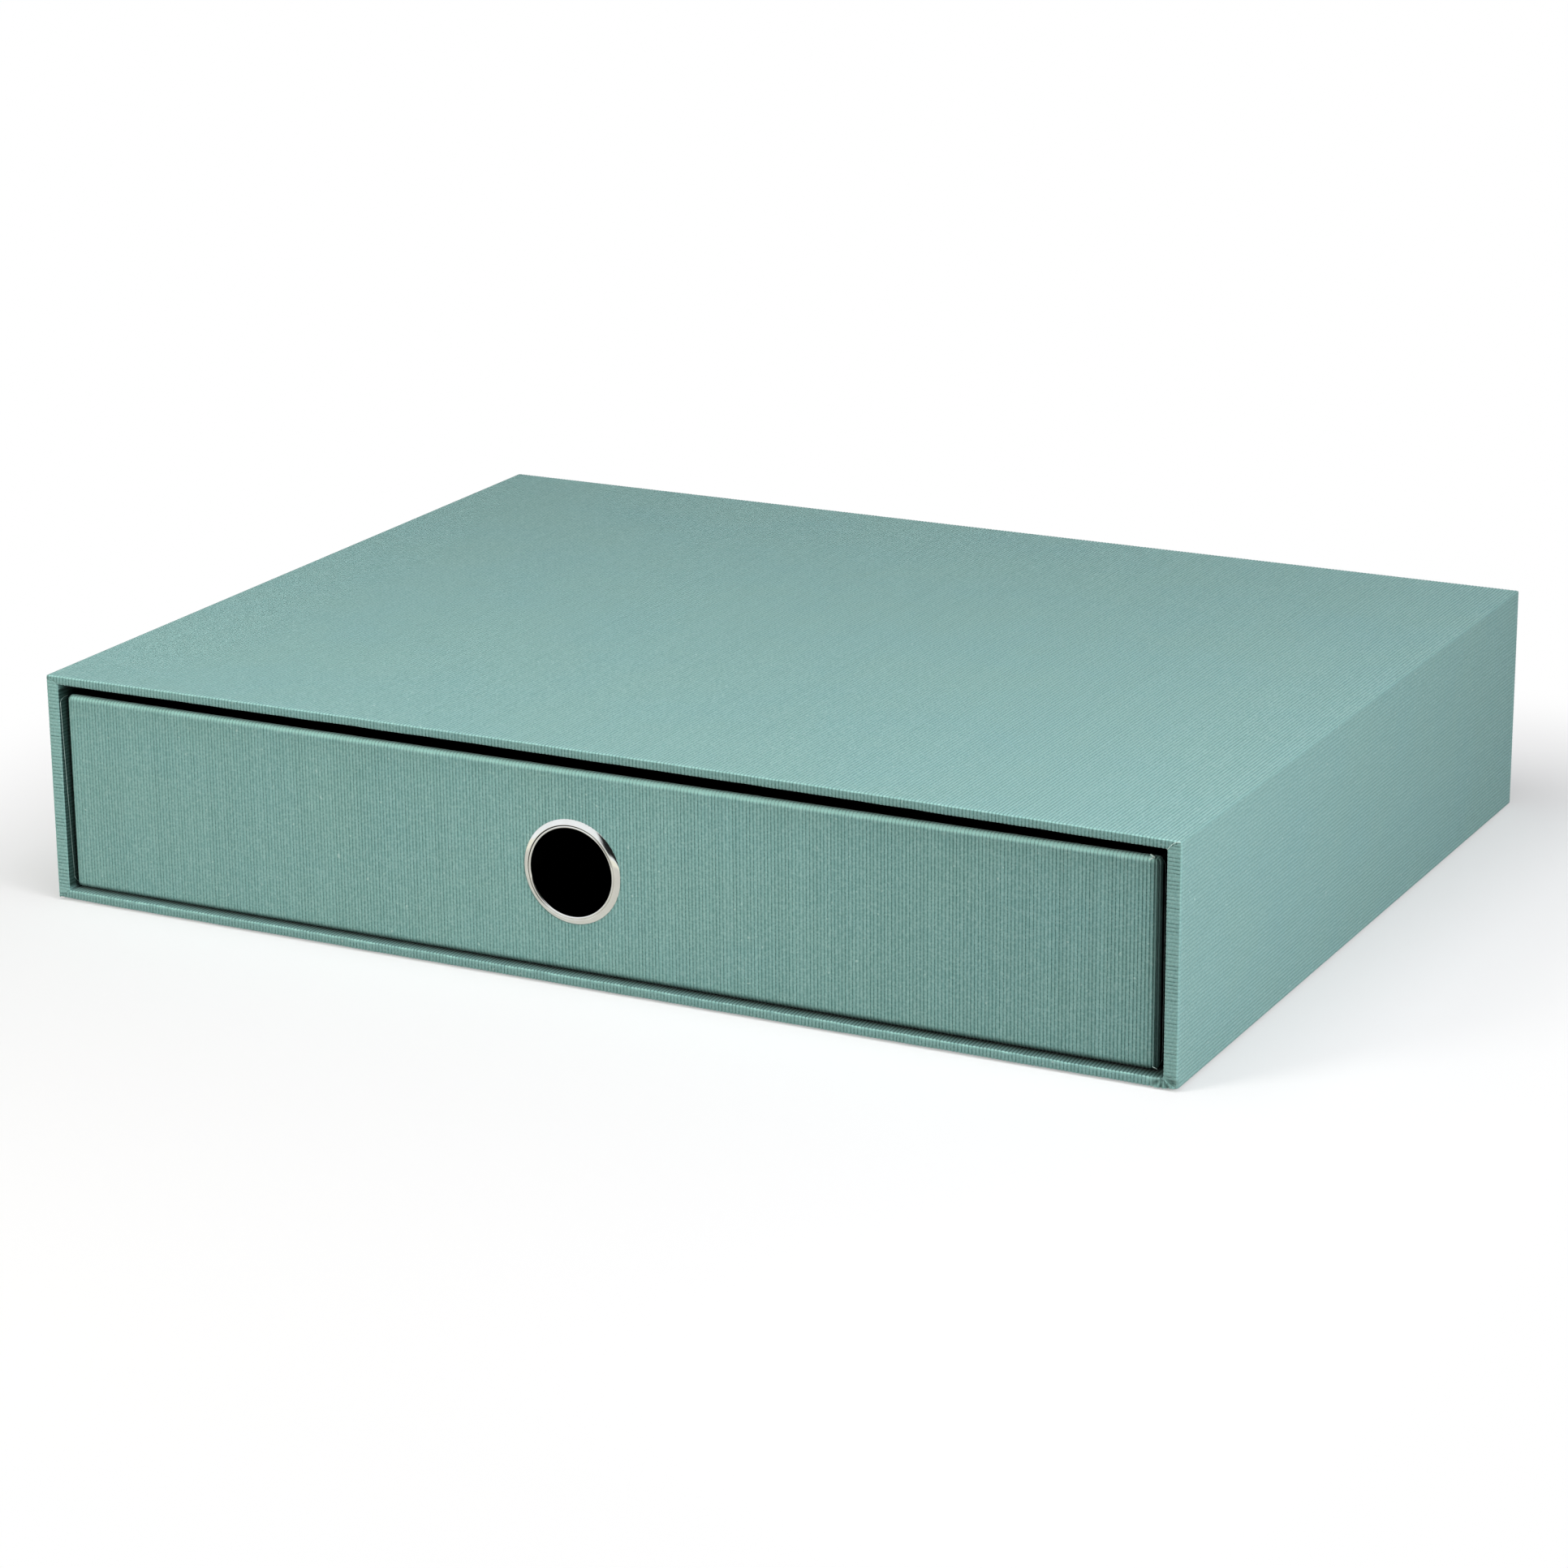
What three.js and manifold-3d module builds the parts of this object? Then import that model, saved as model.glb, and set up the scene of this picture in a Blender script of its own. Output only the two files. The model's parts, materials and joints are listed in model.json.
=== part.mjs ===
import * as THREE from 'three';
import { mergeVertices } from 'three/addons/utils/BufferGeometryUtils.js';
import Module from 'manifold-3d';

const wasm = await Module();
wasm.setup();

// File box with one drawer: grey board covered in corded paper, with a black paper lining.
// Millimetres. +X is to the right, +Y to the back and +Z up, seen from the drawer's front.
// The origin lies on the ground under the middle of the box.

// Outside of the case
const caseWidth = 335;
const caseDepth = 257;
const caseHeight = 65;
// The papered edges are softly rounded, and a paper fold has a small radius of its own.
const edgeRound = 0.6;
const foldRound = 0.2;
// The top's free front edge arches a little. The back wall holds it straight.
const topCrown = 0.8;

// Papers and the glue between layers
const coverPaper = 0.35;
const liningPaper = 0.25;
const baseSheet = 0.3;
const glueLine = 0.05;

// Boards of the case. Each side wall is doubled.
const sideBoard = 1.5;
const topBoard = 1.8;
const bottomBoard = 2;
const backBoard = 1.8;

// Margins of the cover paper: turned into the opening, and turned over the back
const openingTurnIn = 16;
const backMargin = 14;
const backSheetInset = 2.5;
const baseSheetInset = 3;

// Fit of the drawer in the case. It stands a little to the left in its play.
const frontRecess = 3;
const headroom = 3.6;
const slideClearance = 0.3;
const sidePlay = 1.6;
const drawerShift = -1.3;
const rearClearance = 2;

// The papered panel on the drawer's front
const panelBoard = 2;
const panelRound = 1.5;
const panelBackRound = 0.7;
const panelCorner = 0.8;

// The tray behind the panel
const trayBoard = 1.6;
const trayBottomBoard = 1.8;
const trayRound = 0.8;
const trayCorner = 1.2;
const traySideInset = 0.8;
const trayDrop = 1.6;
const trayMargin = 12;
const trayBaseInset = 2;

// Finger ring: a pressed eyelet clinched over a washer. It sits a little left of the panel's middle.
const boreRadius = 12.05;
const ringMetal = 0.4;
const flangeWidth = 2.55;
const flangeHeight = 1;
const lipWidth = 0.95;
const lipHeight = 0.9;
const lipBend = 0.8;
const grooveDepth = 0.22;
const ringClearance = 0.15;
// The folded margins of the papers end this far from the hole.
const holeMargin = 2.2;
const clinchWidth = 1.9;
const clinchHeight = 0.8;
const washerWidth = 2.4;
const washerThickness = 0.5;
const ringShift = -3;

// Fineness of the round shapes, and shares of the sizes that they follow
const arcSteps = 4;
const turnSteps = 60;
const crownSteps = 14;
const crownReachShare = 0.92;
const wallRoundShare = 0.45;
const panelFrontRoundShare = 0.6;
const panelBackRoundShare = 0.3;
const overrun = 1;

const cordedPaper = new THREE.MeshStandardMaterial({ color: 0x84aaa5, roughness: 0.72, metalness: 0 });
const blackPaper = new THREE.MeshStandardMaterial({ color: 0x0b0b0c, roughness: 0.85, metalness: 0 });
const greyBoard = new THREE.MeshStandardMaterial({ color: 0x9a958c, roughness: 0.95, metalness: 0 });
const nickel = new THREE.MeshStandardMaterial({ color: 0xd9d6cf, roughness: 0.18, metalness: 1 });

// Walls, counted with their papers and glue
const coverStack = coverPaper + glueLine;
const liningStack = liningPaper + glueLine;
const sideWall = 2 * coverStack + 2 * sideBoard + glueLine;
const topWall = 2 * coverStack + topBoard;
const bottomWall = 2 * coverStack + bottomBoard;
const panelThickness = 2 * coverStack + panelBoard;
const trayWall = 2 * liningStack + trayBoard;

// A round edge has room for the layers inside it and stays within a share of its wall.
function roundWithin(round, layers, limit) {
  return THREE.MathUtils.clamp(round, layers + foldRound, limit);
}

// Places along the depth and the height of the case
const caseFront = -caseDepth / 2;
const caseBack = caseDepth / 2;
const coverBack = caseBack - coverPaper - glueLine;
const coverLow = baseSheet + glueLine;
const backBoardFront = coverBack - coverStack - backBoard;
const liningBack = backBoardFront - glueLine;

const caseOutside = {
  left: -caseWidth / 2,
  right: caseWidth / 2,
  low: coverLow,
  high: caseHeight,
};
const caseOpening = {
  left: caseOutside.left + sideWall,
  right: caseOutside.right - sideWall,
  low: caseOutside.low + bottomWall,
  high: caseOutside.high - topWall,
};

const panelBounds = {
  left: caseOpening.left + sidePlay + drawerShift,
  right: caseOpening.right - sidePlay + drawerShift,
  low: caseOpening.low + slideClearance,
  high: caseOpening.high - headroom,
};
const panelFront = caseFront + frontRecess;
const panelBack = panelFront + panelThickness;

const trayFront = panelBack + glueLine;
const trayBack = liningBack - liningPaper - rearClearance;
const trayRim = panelBounds.high - trayDrop;
const trayCoverLow = panelBounds.low + liningStack;
const trayFloor = trayCoverLow + liningStack + trayBottomBoard + glueLine;
// The tray's outline seen from above, so low is its front and high its back.
const trayOutside = {
  left: panelBounds.left + traySideInset,
  right: panelBounds.right - traySideInset,
  low: trayFront,
  high: trayBack,
};
const trayInside = grow(trayOutside, -trayWall);

const ringX = (panelBounds.left + panelBounds.right) / 2 + ringShift;
const ringZ = (panelBounds.low + panelBounds.high) / 2;
const barrelRadius = boreRadius + ringMetal;
const holeRadius = barrelRadius + ringClearance;
const panelMargin = ringZ - holeRadius - holeMargin - panelBounds.low;
const trayTurnIn = trayRim - ringZ - holeRadius - holeMargin;

// A rectangle with each of its four sides moved outward by a distance
function grow(bounds, distance) {
  return {
    left: bounds.left - distance,
    right: bounds.right + distance,
    low: bounds.low - distance,
    high: bounds.high + distance,
  };
}

// Angles of a quarter turn, in even steps
function quarterTurn(steps) {
  return Array.from({ length: steps + 1 }, (_, step) => (Math.PI / 2) * (step / steps));
}

// Outline of a rectangle with round corners, anticlockwise, with more points on its high side
function roundedRectangle(bounds, radius, highStations) {
  const corners = [
    { across: bounds.right - radius, up: bounds.low + radius, start: -Math.PI / 2 },
    { across: bounds.right - radius, up: bounds.high - radius, start: 0 },
    { across: bounds.left + radius, up: bounds.high - radius, start: Math.PI / 2 },
    { across: bounds.left + radius, up: bounds.low + radius, start: Math.PI },
  ];
  const outline = corners.map(({ across, up, start }) => quarterTurn(arcSteps).map((angle) => [
    across + radius * Math.cos(start + angle),
    up + radius * Math.sin(start + angle),
  ]));
  outline.splice(2, 0, highStations.map((across) => [across, bounds.high]));
  return outline.flat();
}

// A closed mesh becomes a solid, turned right side out.
function solidOf(geometry) {
  const bare = geometry.clone();
  bare.deleteAttribute('normal');
  bare.deleteAttribute('uv');
  const merged = mergeVertices(bare);
  const mesh = new wasm.Mesh({
    numProp: 3,
    vertProperties: merged.attributes.position.array,
    triVerts: merged.index.array,
  });
  return new wasm.Manifold(mesh);
}

function geometryOf(solid) {
  const mesh = solid.getMesh();
  const geometry = new THREE.BufferGeometry();
  geometry.setAttribute('position', new THREE.BufferAttribute(mesh.vertProperties, 3));
  geometry.setIndex(new THREE.BufferAttribute(mesh.triVerts, 1));
  geometry.computeVertexNormals();
  return geometry;
}

// Skins rings of points one after another. A closed loft ends where it began, like a bent tube.
// An open one has a cap at each end. The diagonals lean one way, so nested lofts keep their distance.
function loft(rings, closed) {
  const count = rings[0].points.length;
  const positions = rings.flatMap((ring) => ring.points.flatMap((point) => point.toArray()));
  const index = [];
  const spans = closed ? rings.length : rings.length - 1;
  for (let span = 0; span < spans; span += 1) {
    const next = (span + 1) % rings.length;
    const rising = rings[span].along <= rings[next].along;
    for (let step = 0; step < count; step += 1) {
      const a = span * count + step;
      const b = span * count + (step + 1) % count;
      const c = next * count + (step + 1) % count;
      const d = next * count + step;
      index.push(...(rising ? [a, b, c, a, c, d] : [a, b, d, b, c, d]));
    }
  }
  if (!closed) {
    [0, rings.length - 1].forEach((end) => {
      const centre = positions.length / 3;
      const middle = new THREE.Box3().setFromPoints(rings[end].points).getCenter(new THREE.Vector3());
      positions.push(...middle.toArray());
      for (let step = 0; step < count; step += 1) {
        const a = end * count + step;
        const b = end * count + (step + 1) % count;
        index.push(...(end === 0 ? [centre, b, a] : [centre, a, b]));
      }
    });
  }
  const geometry = new THREE.BufferGeometry();
  geometry.setAttribute('position', new THREE.Float32BufferAttribute(positions, 3));
  geometry.setIndex(facingOut(positions, index));
  return solidOf(geometry);
}

// Triangles in the order that makes the enclosed volume positive
function facingOut(positions, index) {
  const corner = (at) => new THREE.Vector3().fromArray(positions, 3 * index[at]);
  let volume = 0;
  for (let at = 0; at < index.length; at += 3) {
    volume += corner(at).dot(corner(at + 1).cross(corner(at + 2)));
  }
  return volume > 0 ? index : index.toReversed();
}

// A square block between two corners
function block(min, max) {
  const size = new THREE.Vector3().subVectors(max, min);
  const geometry = new THREE.BoxGeometry(size.x, size.y, size.z);
  geometry.translate(min.x + size.x / 2, min.y + size.y / 2, min.z + size.z / 2);
  return solidOf(geometry);
}

// The round hole for the finger ring's barrel, through everything between two depths
function fingerHole(from, to) {
  const geometry = new THREE.CylinderGeometry(holeRadius, holeRadius, to - from, turnSteps);
  geometry.translate(ringX, (from + to) / 2, 0);
  const solid = solidOf(geometry);
  return solid.translate([0, 0, ringZ]);
}

// Sleeves: four walls round an opening. A ring of points goes round the walls at a distance
// along from the rim, at an inset from the outside or outward from the inside.

const caseSleeve = {
  round: roundWithin(edgeRound, coverStack, wallRoundShare * Math.min(sideWall, topWall, bottomWall)),
  length: coverBack - caseFront,
  paper: coverPaper,
  turnIn: openingTurnIn,
  margin: backMargin,
  ring(face, inset, along) {
    const outside = face === 'outside';
    const bounds = outside ? grow(caseOutside, -inset) : grow(caseOpening, inset);
    const radius = outside ? Math.max(this.round - inset, foldRound) : foldRound;
    const y = caseFront + along;
    const outline = roundedRectangle(bounds, radius, crownStations());
    return { along, points: outline.map(([x, z]) => new THREE.Vector3(x, y, z + crownAt(x, z, along))) };
  },
};

const traySleeve = {
  round: roundWithin(trayRound, liningStack, wallRoundShare * trayWall),
  length: trayRim - trayCoverLow,
  paper: liningPaper,
  turnIn: trayTurnIn,
  margin: trayMargin,
  ring(face, inset, along) {
    const outside = face === 'outside';
    const bounds = outside ? grow(trayOutside, -inset) : grow(trayInside, inset);
    const radius = outside ? Math.max(trayCorner - inset, foldRound) : foldRound;
    const z = trayRim - along;
    const outline = roundedRectangle(bounds, radius, []);
    return { along, points: outline.map(([x, y]) => new THREE.Vector3(x, y, z)) };
  },
};

// Places across the top where its arch has points, the same ones at each depth
function crownStations() {
  const reach = crownReachShare * (caseWidth / 2 - backMargin);
  return Array.from({ length: crownSteps + 1 }, (_, step) => reach - 2 * reach * (step / crownSteps));
}

// Rise of the top's arch: full in the middle of the free front edge, nothing at the sides and back
function crownAt(x, z, along) {
  if (z < caseHeight / 2) {
    return 0;
  }
  const side = x / (caseWidth / 2);
  return topCrown * (1 - side * side) * (1 - along / (coverBack - caseFront));
}

// Rings round the rim at a depth below the surface, from the outside face to the inside one
function rimRoll(sleeve, depth) {
  const radius = sleeve.round - depth;
  const arc = quarterTurn(arcSteps).map((angle) => ({
    inset: sleeve.round - radius * Math.cos(angle),
    along: sleeve.round - radius * Math.sin(angle),
  }));
  return [
    ...arc.map(({ inset, along }) => sleeve.ring('outside', inset, along)),
    ...arc.toReversed().map(({ inset, along }) => sleeve.ring('inside', inset, along)),
  ];
}

// Rings round the far edge at a depth below the surface, from the far face to the outside one
function farRoll(sleeve, depth) {
  const radius = sleeve.round - depth;
  return quarterTurn(arcSteps).toReversed().map((angle) => sleeve.ring(
    'outside',
    sleeve.round - radius * Math.cos(angle),
    sleeve.length - sleeve.round + radius * Math.sin(angle),
  ));
}

// One sheet of paper drawn over the walls: turned in at the rim, and folded over the far end
function foldedPaper(sleeve) {
  const face = (depth) => [
    sleeve.ring('outside', sleeve.margin, sleeve.length - depth),
    ...farRoll(sleeve, depth),
    ...rimRoll(sleeve, depth),
    sleeve.ring('inside', depth, sleeve.turnIn),
  ];
  return loft([...face(0), ...face(sleeve.paper).reverse()], true);
}

// All that the paper wraps: the boards of the four walls as one ring, parted afterwards
function boardRing(sleeve) {
  const depth = sleeve.paper + glueLine;
  return loft([
    ...farRoll(sleeve, depth),
    ...rimRoll(sleeve, depth),
    sleeve.ring('inside', depth, sleeve.length - depth),
  ], true);
}

// What fills the walls from one distance along them to another, at an inset outward from the inside
function filling(sleeve, inset, from, to) {
  return loft([sleeve.ring('inside', inset, from), sleeve.ring('inside', inset, to)], false);
}

// Lining paper on the inside of the walls and over the end that closes them
function lining(sleeve, from, to) {
  const outer = filling(sleeve, sleeve.paper, from, to);
  const hollow = filling(sleeve, sleeve.paper - liningPaper, from - overrun, to - liningPaper);
  return outer.subtract(hollow);
}

function addPiece(group, name, solid, material) {
  const mesh = new THREE.Mesh(geometryOf(solid), material);
  mesh.name = name;
  group.add(mesh);
}

// Boards of the case: top and bottom lie between the outer side boards, on the inner ones
function addCaseBoards(group) {
  const ring = boardRing(caseSleeve);
  const y0 = caseFront - overrun;
  const y1 = caseBack + overrun;
  const outerFace = caseOutside.right - coverStack - sideBoard;
  const innerFace = outerFace - glueLine;
  const topSeat = caseOpening.high + coverStack - glueLine;
  const bottomSeat = caseOpening.low - coverStack + glueLine;
  const region = (x0, z0, x1, z1) => block(new THREE.Vector3(x0, y0, z0), new THREE.Vector3(x1, y1, z1));
  const far = caseWidth;

  const top = region(-innerFace, topSeat, innerFace, far);
  const bottom = region(-innerFace, -far, innerFace, bottomSeat);
  addPiece(group, 'case_top_board', ring.intersect(top), greyBoard);
  addPiece(group, 'case_bottom_board', ring.intersect(bottom), greyBoard);
  [['left', -1], ['right', 1]].forEach(([side, sign]) => {
    const across = (near, away) => [Math.min(sign * near, sign * away), Math.max(sign * near, sign * away)];
    const [outer0, outer1] = across(outerFace, far);
    const [inner0, inner1] = across(innerFace, caseOpening.right - overrun);
    const outer = region(outer0, -far, outer1, far);
    const inner = region(inner0, bottomSeat + glueLine, inner1, topSeat - glueLine);
    addPiece(group, `case_${side}_outer_board`, ring.intersect(outer), greyBoard);
    addPiece(group, `case_${side}_inner_board`, ring.intersect(inner), greyBoard);
  });

  const boardEnd = caseSleeve.length - coverStack;
  const back = filling(caseSleeve, coverStack - glueLine, boardEnd - backBoard, boardEnd);
  addPiece(group, 'case_back_board', back, greyBoard);
}

// Papers of the case: the corded cover, the sheets on its back and underside, and the black lining
function addCasePapers(group) {
  addPiece(group, 'case_wrap', foldedPaper(caseSleeve), cordedPaper);

  const backArea = grow(caseOutside, -backSheetInset);
  const backSheet = block(
    new THREE.Vector3(backArea.left, caseBack - coverPaper, backArea.low),
    new THREE.Vector3(backArea.right, caseBack, backArea.high),
  );
  addPiece(group, 'case_back_sheet', backSheet, cordedPaper);

  const base = block(
    new THREE.Vector3(caseOutside.left + baseSheetInset, caseFront + baseSheetInset, 0),
    new THREE.Vector3(caseOutside.right - baseSheetInset, coverBack - baseSheetInset, baseSheet),
  );
  addPiece(group, 'case_base_sheet', base, cordedPaper);

  const liningStart = openingTurnIn + glueLine;
  addPiece(group, 'case_lining', lining(caseSleeve, liningStart, liningBack - caseFront), blackPaper);
}

// The panel's shape at a depth below its surface: rounder in front than behind
function panelBlock(depth) {
  const frontRound = roundWithin(panelRound, coverStack, panelFrontRoundShare * panelThickness);
  const backRound = roundWithin(panelBackRound, coverStack, panelBackRoundShare * panelThickness);
  const front = quarterTurn(arcSteps).toReversed().map((angle) => ({
    inset: frontRound - (frontRound - depth) * Math.cos(angle),
    y: panelFront + frontRound - (frontRound - depth) * Math.sin(angle),
  }));
  const back = quarterTurn(arcSteps).map((angle) => ({
    inset: backRound - (backRound - depth) * Math.cos(angle),
    y: panelBack - backRound + (backRound - depth) * Math.sin(angle),
  }));
  return loft([...front, ...back].map(({ inset, y }) => {
    const outline = roundedRectangle(grow(panelBounds, -inset), Math.max(panelCorner - inset, foldRound), []);
    return { along: y, points: outline.map(([x, z]) => new THREE.Vector3(x, y, z)) };
  }), false);
}

// The panel: a board in a cover whose margins fold behind it as a frame
function addPanel(group) {
  const hole = fingerHole(panelFront - overrun, panelBack + overrun);
  addPiece(group, 'panel_board', panelBlock(coverStack).subtract(hole), greyBoard);

  const frame = grow(panelBounds, -panelMargin);
  const window = block(
    new THREE.Vector3(frame.left, panelBack - coverStack, frame.low),
    new THREE.Vector3(frame.right, panelBack + overrun, frame.high),
  );
  const cover = panelBlock(0).subtract(panelBlock(coverPaper)).subtract(window).subtract(hole);
  addPiece(group, 'panel_cover', cover, cordedPaper);
}

// Boards of the tray: front and back stand between the sides, and the bottom lies inside all four
function addTrayBoards(group) {
  const ring = boardRing(traySleeve);
  const far = caseWidth;
  const middle = (trayFront + trayBack) / 2;
  const leftFace = trayOutside.left + liningStack + trayBoard;
  const rightFace = trayOutside.right - liningStack - trayBoard;
  const region = (x0, y0, x1, y1) => block(new THREE.Vector3(x0, y0, -far), new THREE.Vector3(x1, y1, far));

  addPiece(group, 'tray_left_board', ring.intersect(region(-far, -far, leftFace, far)), greyBoard);
  addPiece(group, 'tray_right_board', ring.intersect(region(rightFace, -far, far, far)), greyBoard);

  const left = leftFace + glueLine;
  const right = rightFace - glueLine;
  const hole = fingerHole(trayFront - overrun, trayInside.low + overrun);
  const front = ring.intersect(region(left, -far, right, middle)).subtract(hole);
  addPiece(group, 'tray_front_board', front, greyBoard);
  addPiece(group, 'tray_back_board', ring.intersect(region(left, middle, right, far)), greyBoard);

  const boardEnd = traySleeve.length - liningStack;
  const bottom = filling(traySleeve, liningStack - glueLine, boardEnd - trayBottomBoard, boardEnd);
  addPiece(group, 'tray_bottom_board', bottom, greyBoard);
}

// Black papers of the tray: round the walls, under the bottom and inside
function addTrayPapers(group) {
  const hole = fingerHole(trayFront - overrun, trayInside.low + overrun);
  addPiece(group, 'tray_wrap', foldedPaper(traySleeve).subtract(hole), blackPaper);

  const inside = lining(traySleeve, trayTurnIn + glueLine, trayRim - trayFloor);
  addPiece(group, 'tray_lining', inside.subtract(hole), blackPaper);

  const baseArea = grow(trayOutside, -trayBaseInset);
  const base = block(
    new THREE.Vector3(baseArea.left, baseArea.low, panelBounds.low),
    new THREE.Vector3(baseArea.right, baseArea.high, panelBounds.low + liningPaper),
  );
  addPiece(group, 'tray_base_sheet', base, blackPaper);
}

// Quarter of an ellipse in the ring's section, as radius and distance out from the panel
function sectionArc(radius, out, reach, rise, startQuarter) {
  return quarterTurn(arcSteps).map((angle) => new THREE.Vector2(
    radius + reach * Math.cos(angle + startQuarter * (Math.PI / 2)),
    out + rise * Math.sin(angle + startQuarter * (Math.PI / 2)),
  ));
}

// Section of the eyelet: a domed flange, a fine groove, a lip that rolls into the barrel,
// and the barrel's far end clinched outward over the washer
function ringSection(grip) {
  const flangeRadius = boreRadius + flangeWidth;
  const grooveRadius = boreRadius + lipWidth;
  const crest = (flangeRadius + grooveRadius) / 2;
  const lipCrest = boreRadius + lipWidth / 2;
  const grooveOut = flangeHeight - grooveDepth;
  const clinch = clinchWidth / 2;
  return [
    ...sectionArc(crest, glueLine, flangeRadius - crest, flangeHeight - glueLine, 0),
    ...sectionArc(crest, grooveOut, crest - grooveRadius, grooveDepth, 1).slice(1),
    ...sectionArc(lipCrest, grooveOut, grooveRadius - lipCrest, lipHeight - grooveOut, 0).slice(1),
    ...sectionArc(lipCrest, lipHeight - lipBend, lipCrest - boreRadius, lipBend, 1).slice(1),
    ...sectionArc(boreRadius + clinch, -grip, clinch, clinchHeight, 2),
    ...sectionArc(boreRadius + clinch, -grip, clinch, clinchHeight, 3).slice(1),
    new THREE.Vector2(barrelRadius, -grip),
    new THREE.Vector2(barrelRadius, glueLine),
    new THREE.Vector2(flangeRadius, glueLine),
  ];
}

// Turns a section about the finger hole's axis
function turned(section) {
  const points = section.map(({ x: radius, y: out }) => new THREE.Vector2(radius, panelFront - out));
  const lathe = new THREE.LatheGeometry(points, turnSteps);
  lathe.deleteAttribute('normal');
  lathe.deleteAttribute('uv');
  const merged = mergeVertices(lathe);
  merged.setIndex(facingOut(merged.attributes.position.array, Array.from(merged.index.array)));
  merged.computeVertexNormals();
  return merged;
}

// The finger ring and the washer behind the tray's front wall
function addFingerRing(group) {
  const washerFront = trayInside.low + glueLine - panelFront;
  const washerBack = washerFront + washerThickness;
  const ring = new THREE.Mesh(turned(ringSection(washerBack + glueLine)), nickel);
  ring.name = 'finger_ring';
  ring.position.set(ringX, 0, ringZ);

  const washerRadius = holeRadius + washerWidth;
  const washer = new THREE.Mesh(turned([
    new THREE.Vector2(washerRadius, -washerFront),
    new THREE.Vector2(holeRadius, -washerFront),
    new THREE.Vector2(holeRadius, -washerBack),
    new THREE.Vector2(washerRadius, -washerBack),
    new THREE.Vector2(washerRadius, -washerFront),
  ]), nickel);
  washer.name = 'finger_ring_washer';
  washer.position.copy(ring.position);
  group.add(ring, washer);
}

const caseGroup = new THREE.Group();
addCaseBoards(caseGroup);
addCasePapers(caseGroup);

const drawerGroup = new THREE.Group();
addPanel(drawerGroup);
addTrayBoards(drawerGroup);
addTrayPapers(drawerGroup);
addFingerRing(drawerGroup);

const fileBox = new THREE.Group();
fileBox.add(caseGroup, drawerGroup);

export default fileBox;
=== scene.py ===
# %% [markdown]
# # A file box with a drawer, dressed in corded paper
#
# The box is made of grey board. A sage-green paper with fine raised cords is drawn over the boards,
# rolled round their edges and turned in. A black paper lines the case and the tray. The boards and
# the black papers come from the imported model; the corded papers and the finger ring are made here.

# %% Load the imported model
import json
from math import cos, hypot, pi, radians, sin

import bmesh
import bpy
from mathutils import Matrix, Vector
from mathutils import noise as smooth_noise


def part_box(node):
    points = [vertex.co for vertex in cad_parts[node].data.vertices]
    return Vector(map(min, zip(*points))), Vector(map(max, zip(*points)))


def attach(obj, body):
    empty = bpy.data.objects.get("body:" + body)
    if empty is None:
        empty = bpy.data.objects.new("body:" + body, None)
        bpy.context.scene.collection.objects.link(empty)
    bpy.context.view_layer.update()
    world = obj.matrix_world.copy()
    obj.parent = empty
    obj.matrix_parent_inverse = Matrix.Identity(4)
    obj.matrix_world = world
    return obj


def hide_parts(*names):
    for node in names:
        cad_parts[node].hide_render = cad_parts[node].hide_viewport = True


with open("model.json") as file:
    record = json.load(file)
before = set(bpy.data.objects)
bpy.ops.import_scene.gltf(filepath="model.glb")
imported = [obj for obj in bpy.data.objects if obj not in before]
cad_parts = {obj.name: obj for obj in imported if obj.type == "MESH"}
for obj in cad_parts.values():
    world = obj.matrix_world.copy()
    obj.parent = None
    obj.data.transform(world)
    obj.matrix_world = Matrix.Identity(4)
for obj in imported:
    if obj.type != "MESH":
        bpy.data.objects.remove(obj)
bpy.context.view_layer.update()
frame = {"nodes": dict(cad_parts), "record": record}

MM = 0.001
print("pieces in the frame:", len(frame["nodes"]))

# %% [markdown]
# ## The camera
#
# The photograph was taken from the right and above with a long lens. A camera is made from three
# directions: where it looks, what is right and what is up. Turning it a little about its own view
# gives the photograph's slight roll. The lens follows from how many pixels wide a metre looks.

# %% Camera at the photograph's place
IMAGE_PIXELS = 1932
FOCAL_PIXELS = 5555
SENSOR_MM = 36
CAMERA_PLACE = Vector((554.9, -1090.6, 408.5)) * MM
CAMERA_YAW = radians(27.24)
CAMERA_PITCH = radians(17.62)
CAMERA_ROLL = radians(-0.48)


def aimed_camera(place, yaw, pitch, roll):
    """A camera that looks along yaw and pitch, rolled about its own view."""
    forward = Vector((-sin(yaw) * cos(pitch), cos(yaw) * cos(pitch), -sin(pitch)))
    level = Vector((cos(yaw), sin(yaw), 0))
    upright = level.cross(forward)
    right = level * cos(roll) + upright * sin(roll)
    up = upright * cos(roll) - level * sin(roll)
    data = bpy.data.cameras.new("camera")
    camera = bpy.data.objects.new("camera", data)
    turn = Matrix((right, up, -forward)).transposed()
    camera.matrix_world = Matrix.Translation(place) @ turn.to_4x4()
    bpy.context.scene.collection.objects.link(camera)
    return camera


camera = aimed_camera(CAMERA_PLACE, CAMERA_YAW, CAMERA_PITCH, CAMERA_ROLL)
camera.data.sensor_width = SENSOR_MM
camera.data.lens = SENSOR_MM * FOCAL_PIXELS / IMAGE_PIXELS
camera.data.dof.use_dof = False
camera.data.clip_start = 0.05
camera.data.clip_end = 50
bpy.context.scene.camera = camera
print("lens in mm:", round(camera.data.lens, 1))

# %% [markdown]
# ## Building materials from nodes
#
# Every finish here is a Principled shader with a few nodes in front of it. A small helper makes a
# material and hands back its shader, and another one adds a node and joins its inputs. A name such
# as _0 stands for the first input.

# %% Helpers that make a material and a node


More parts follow.
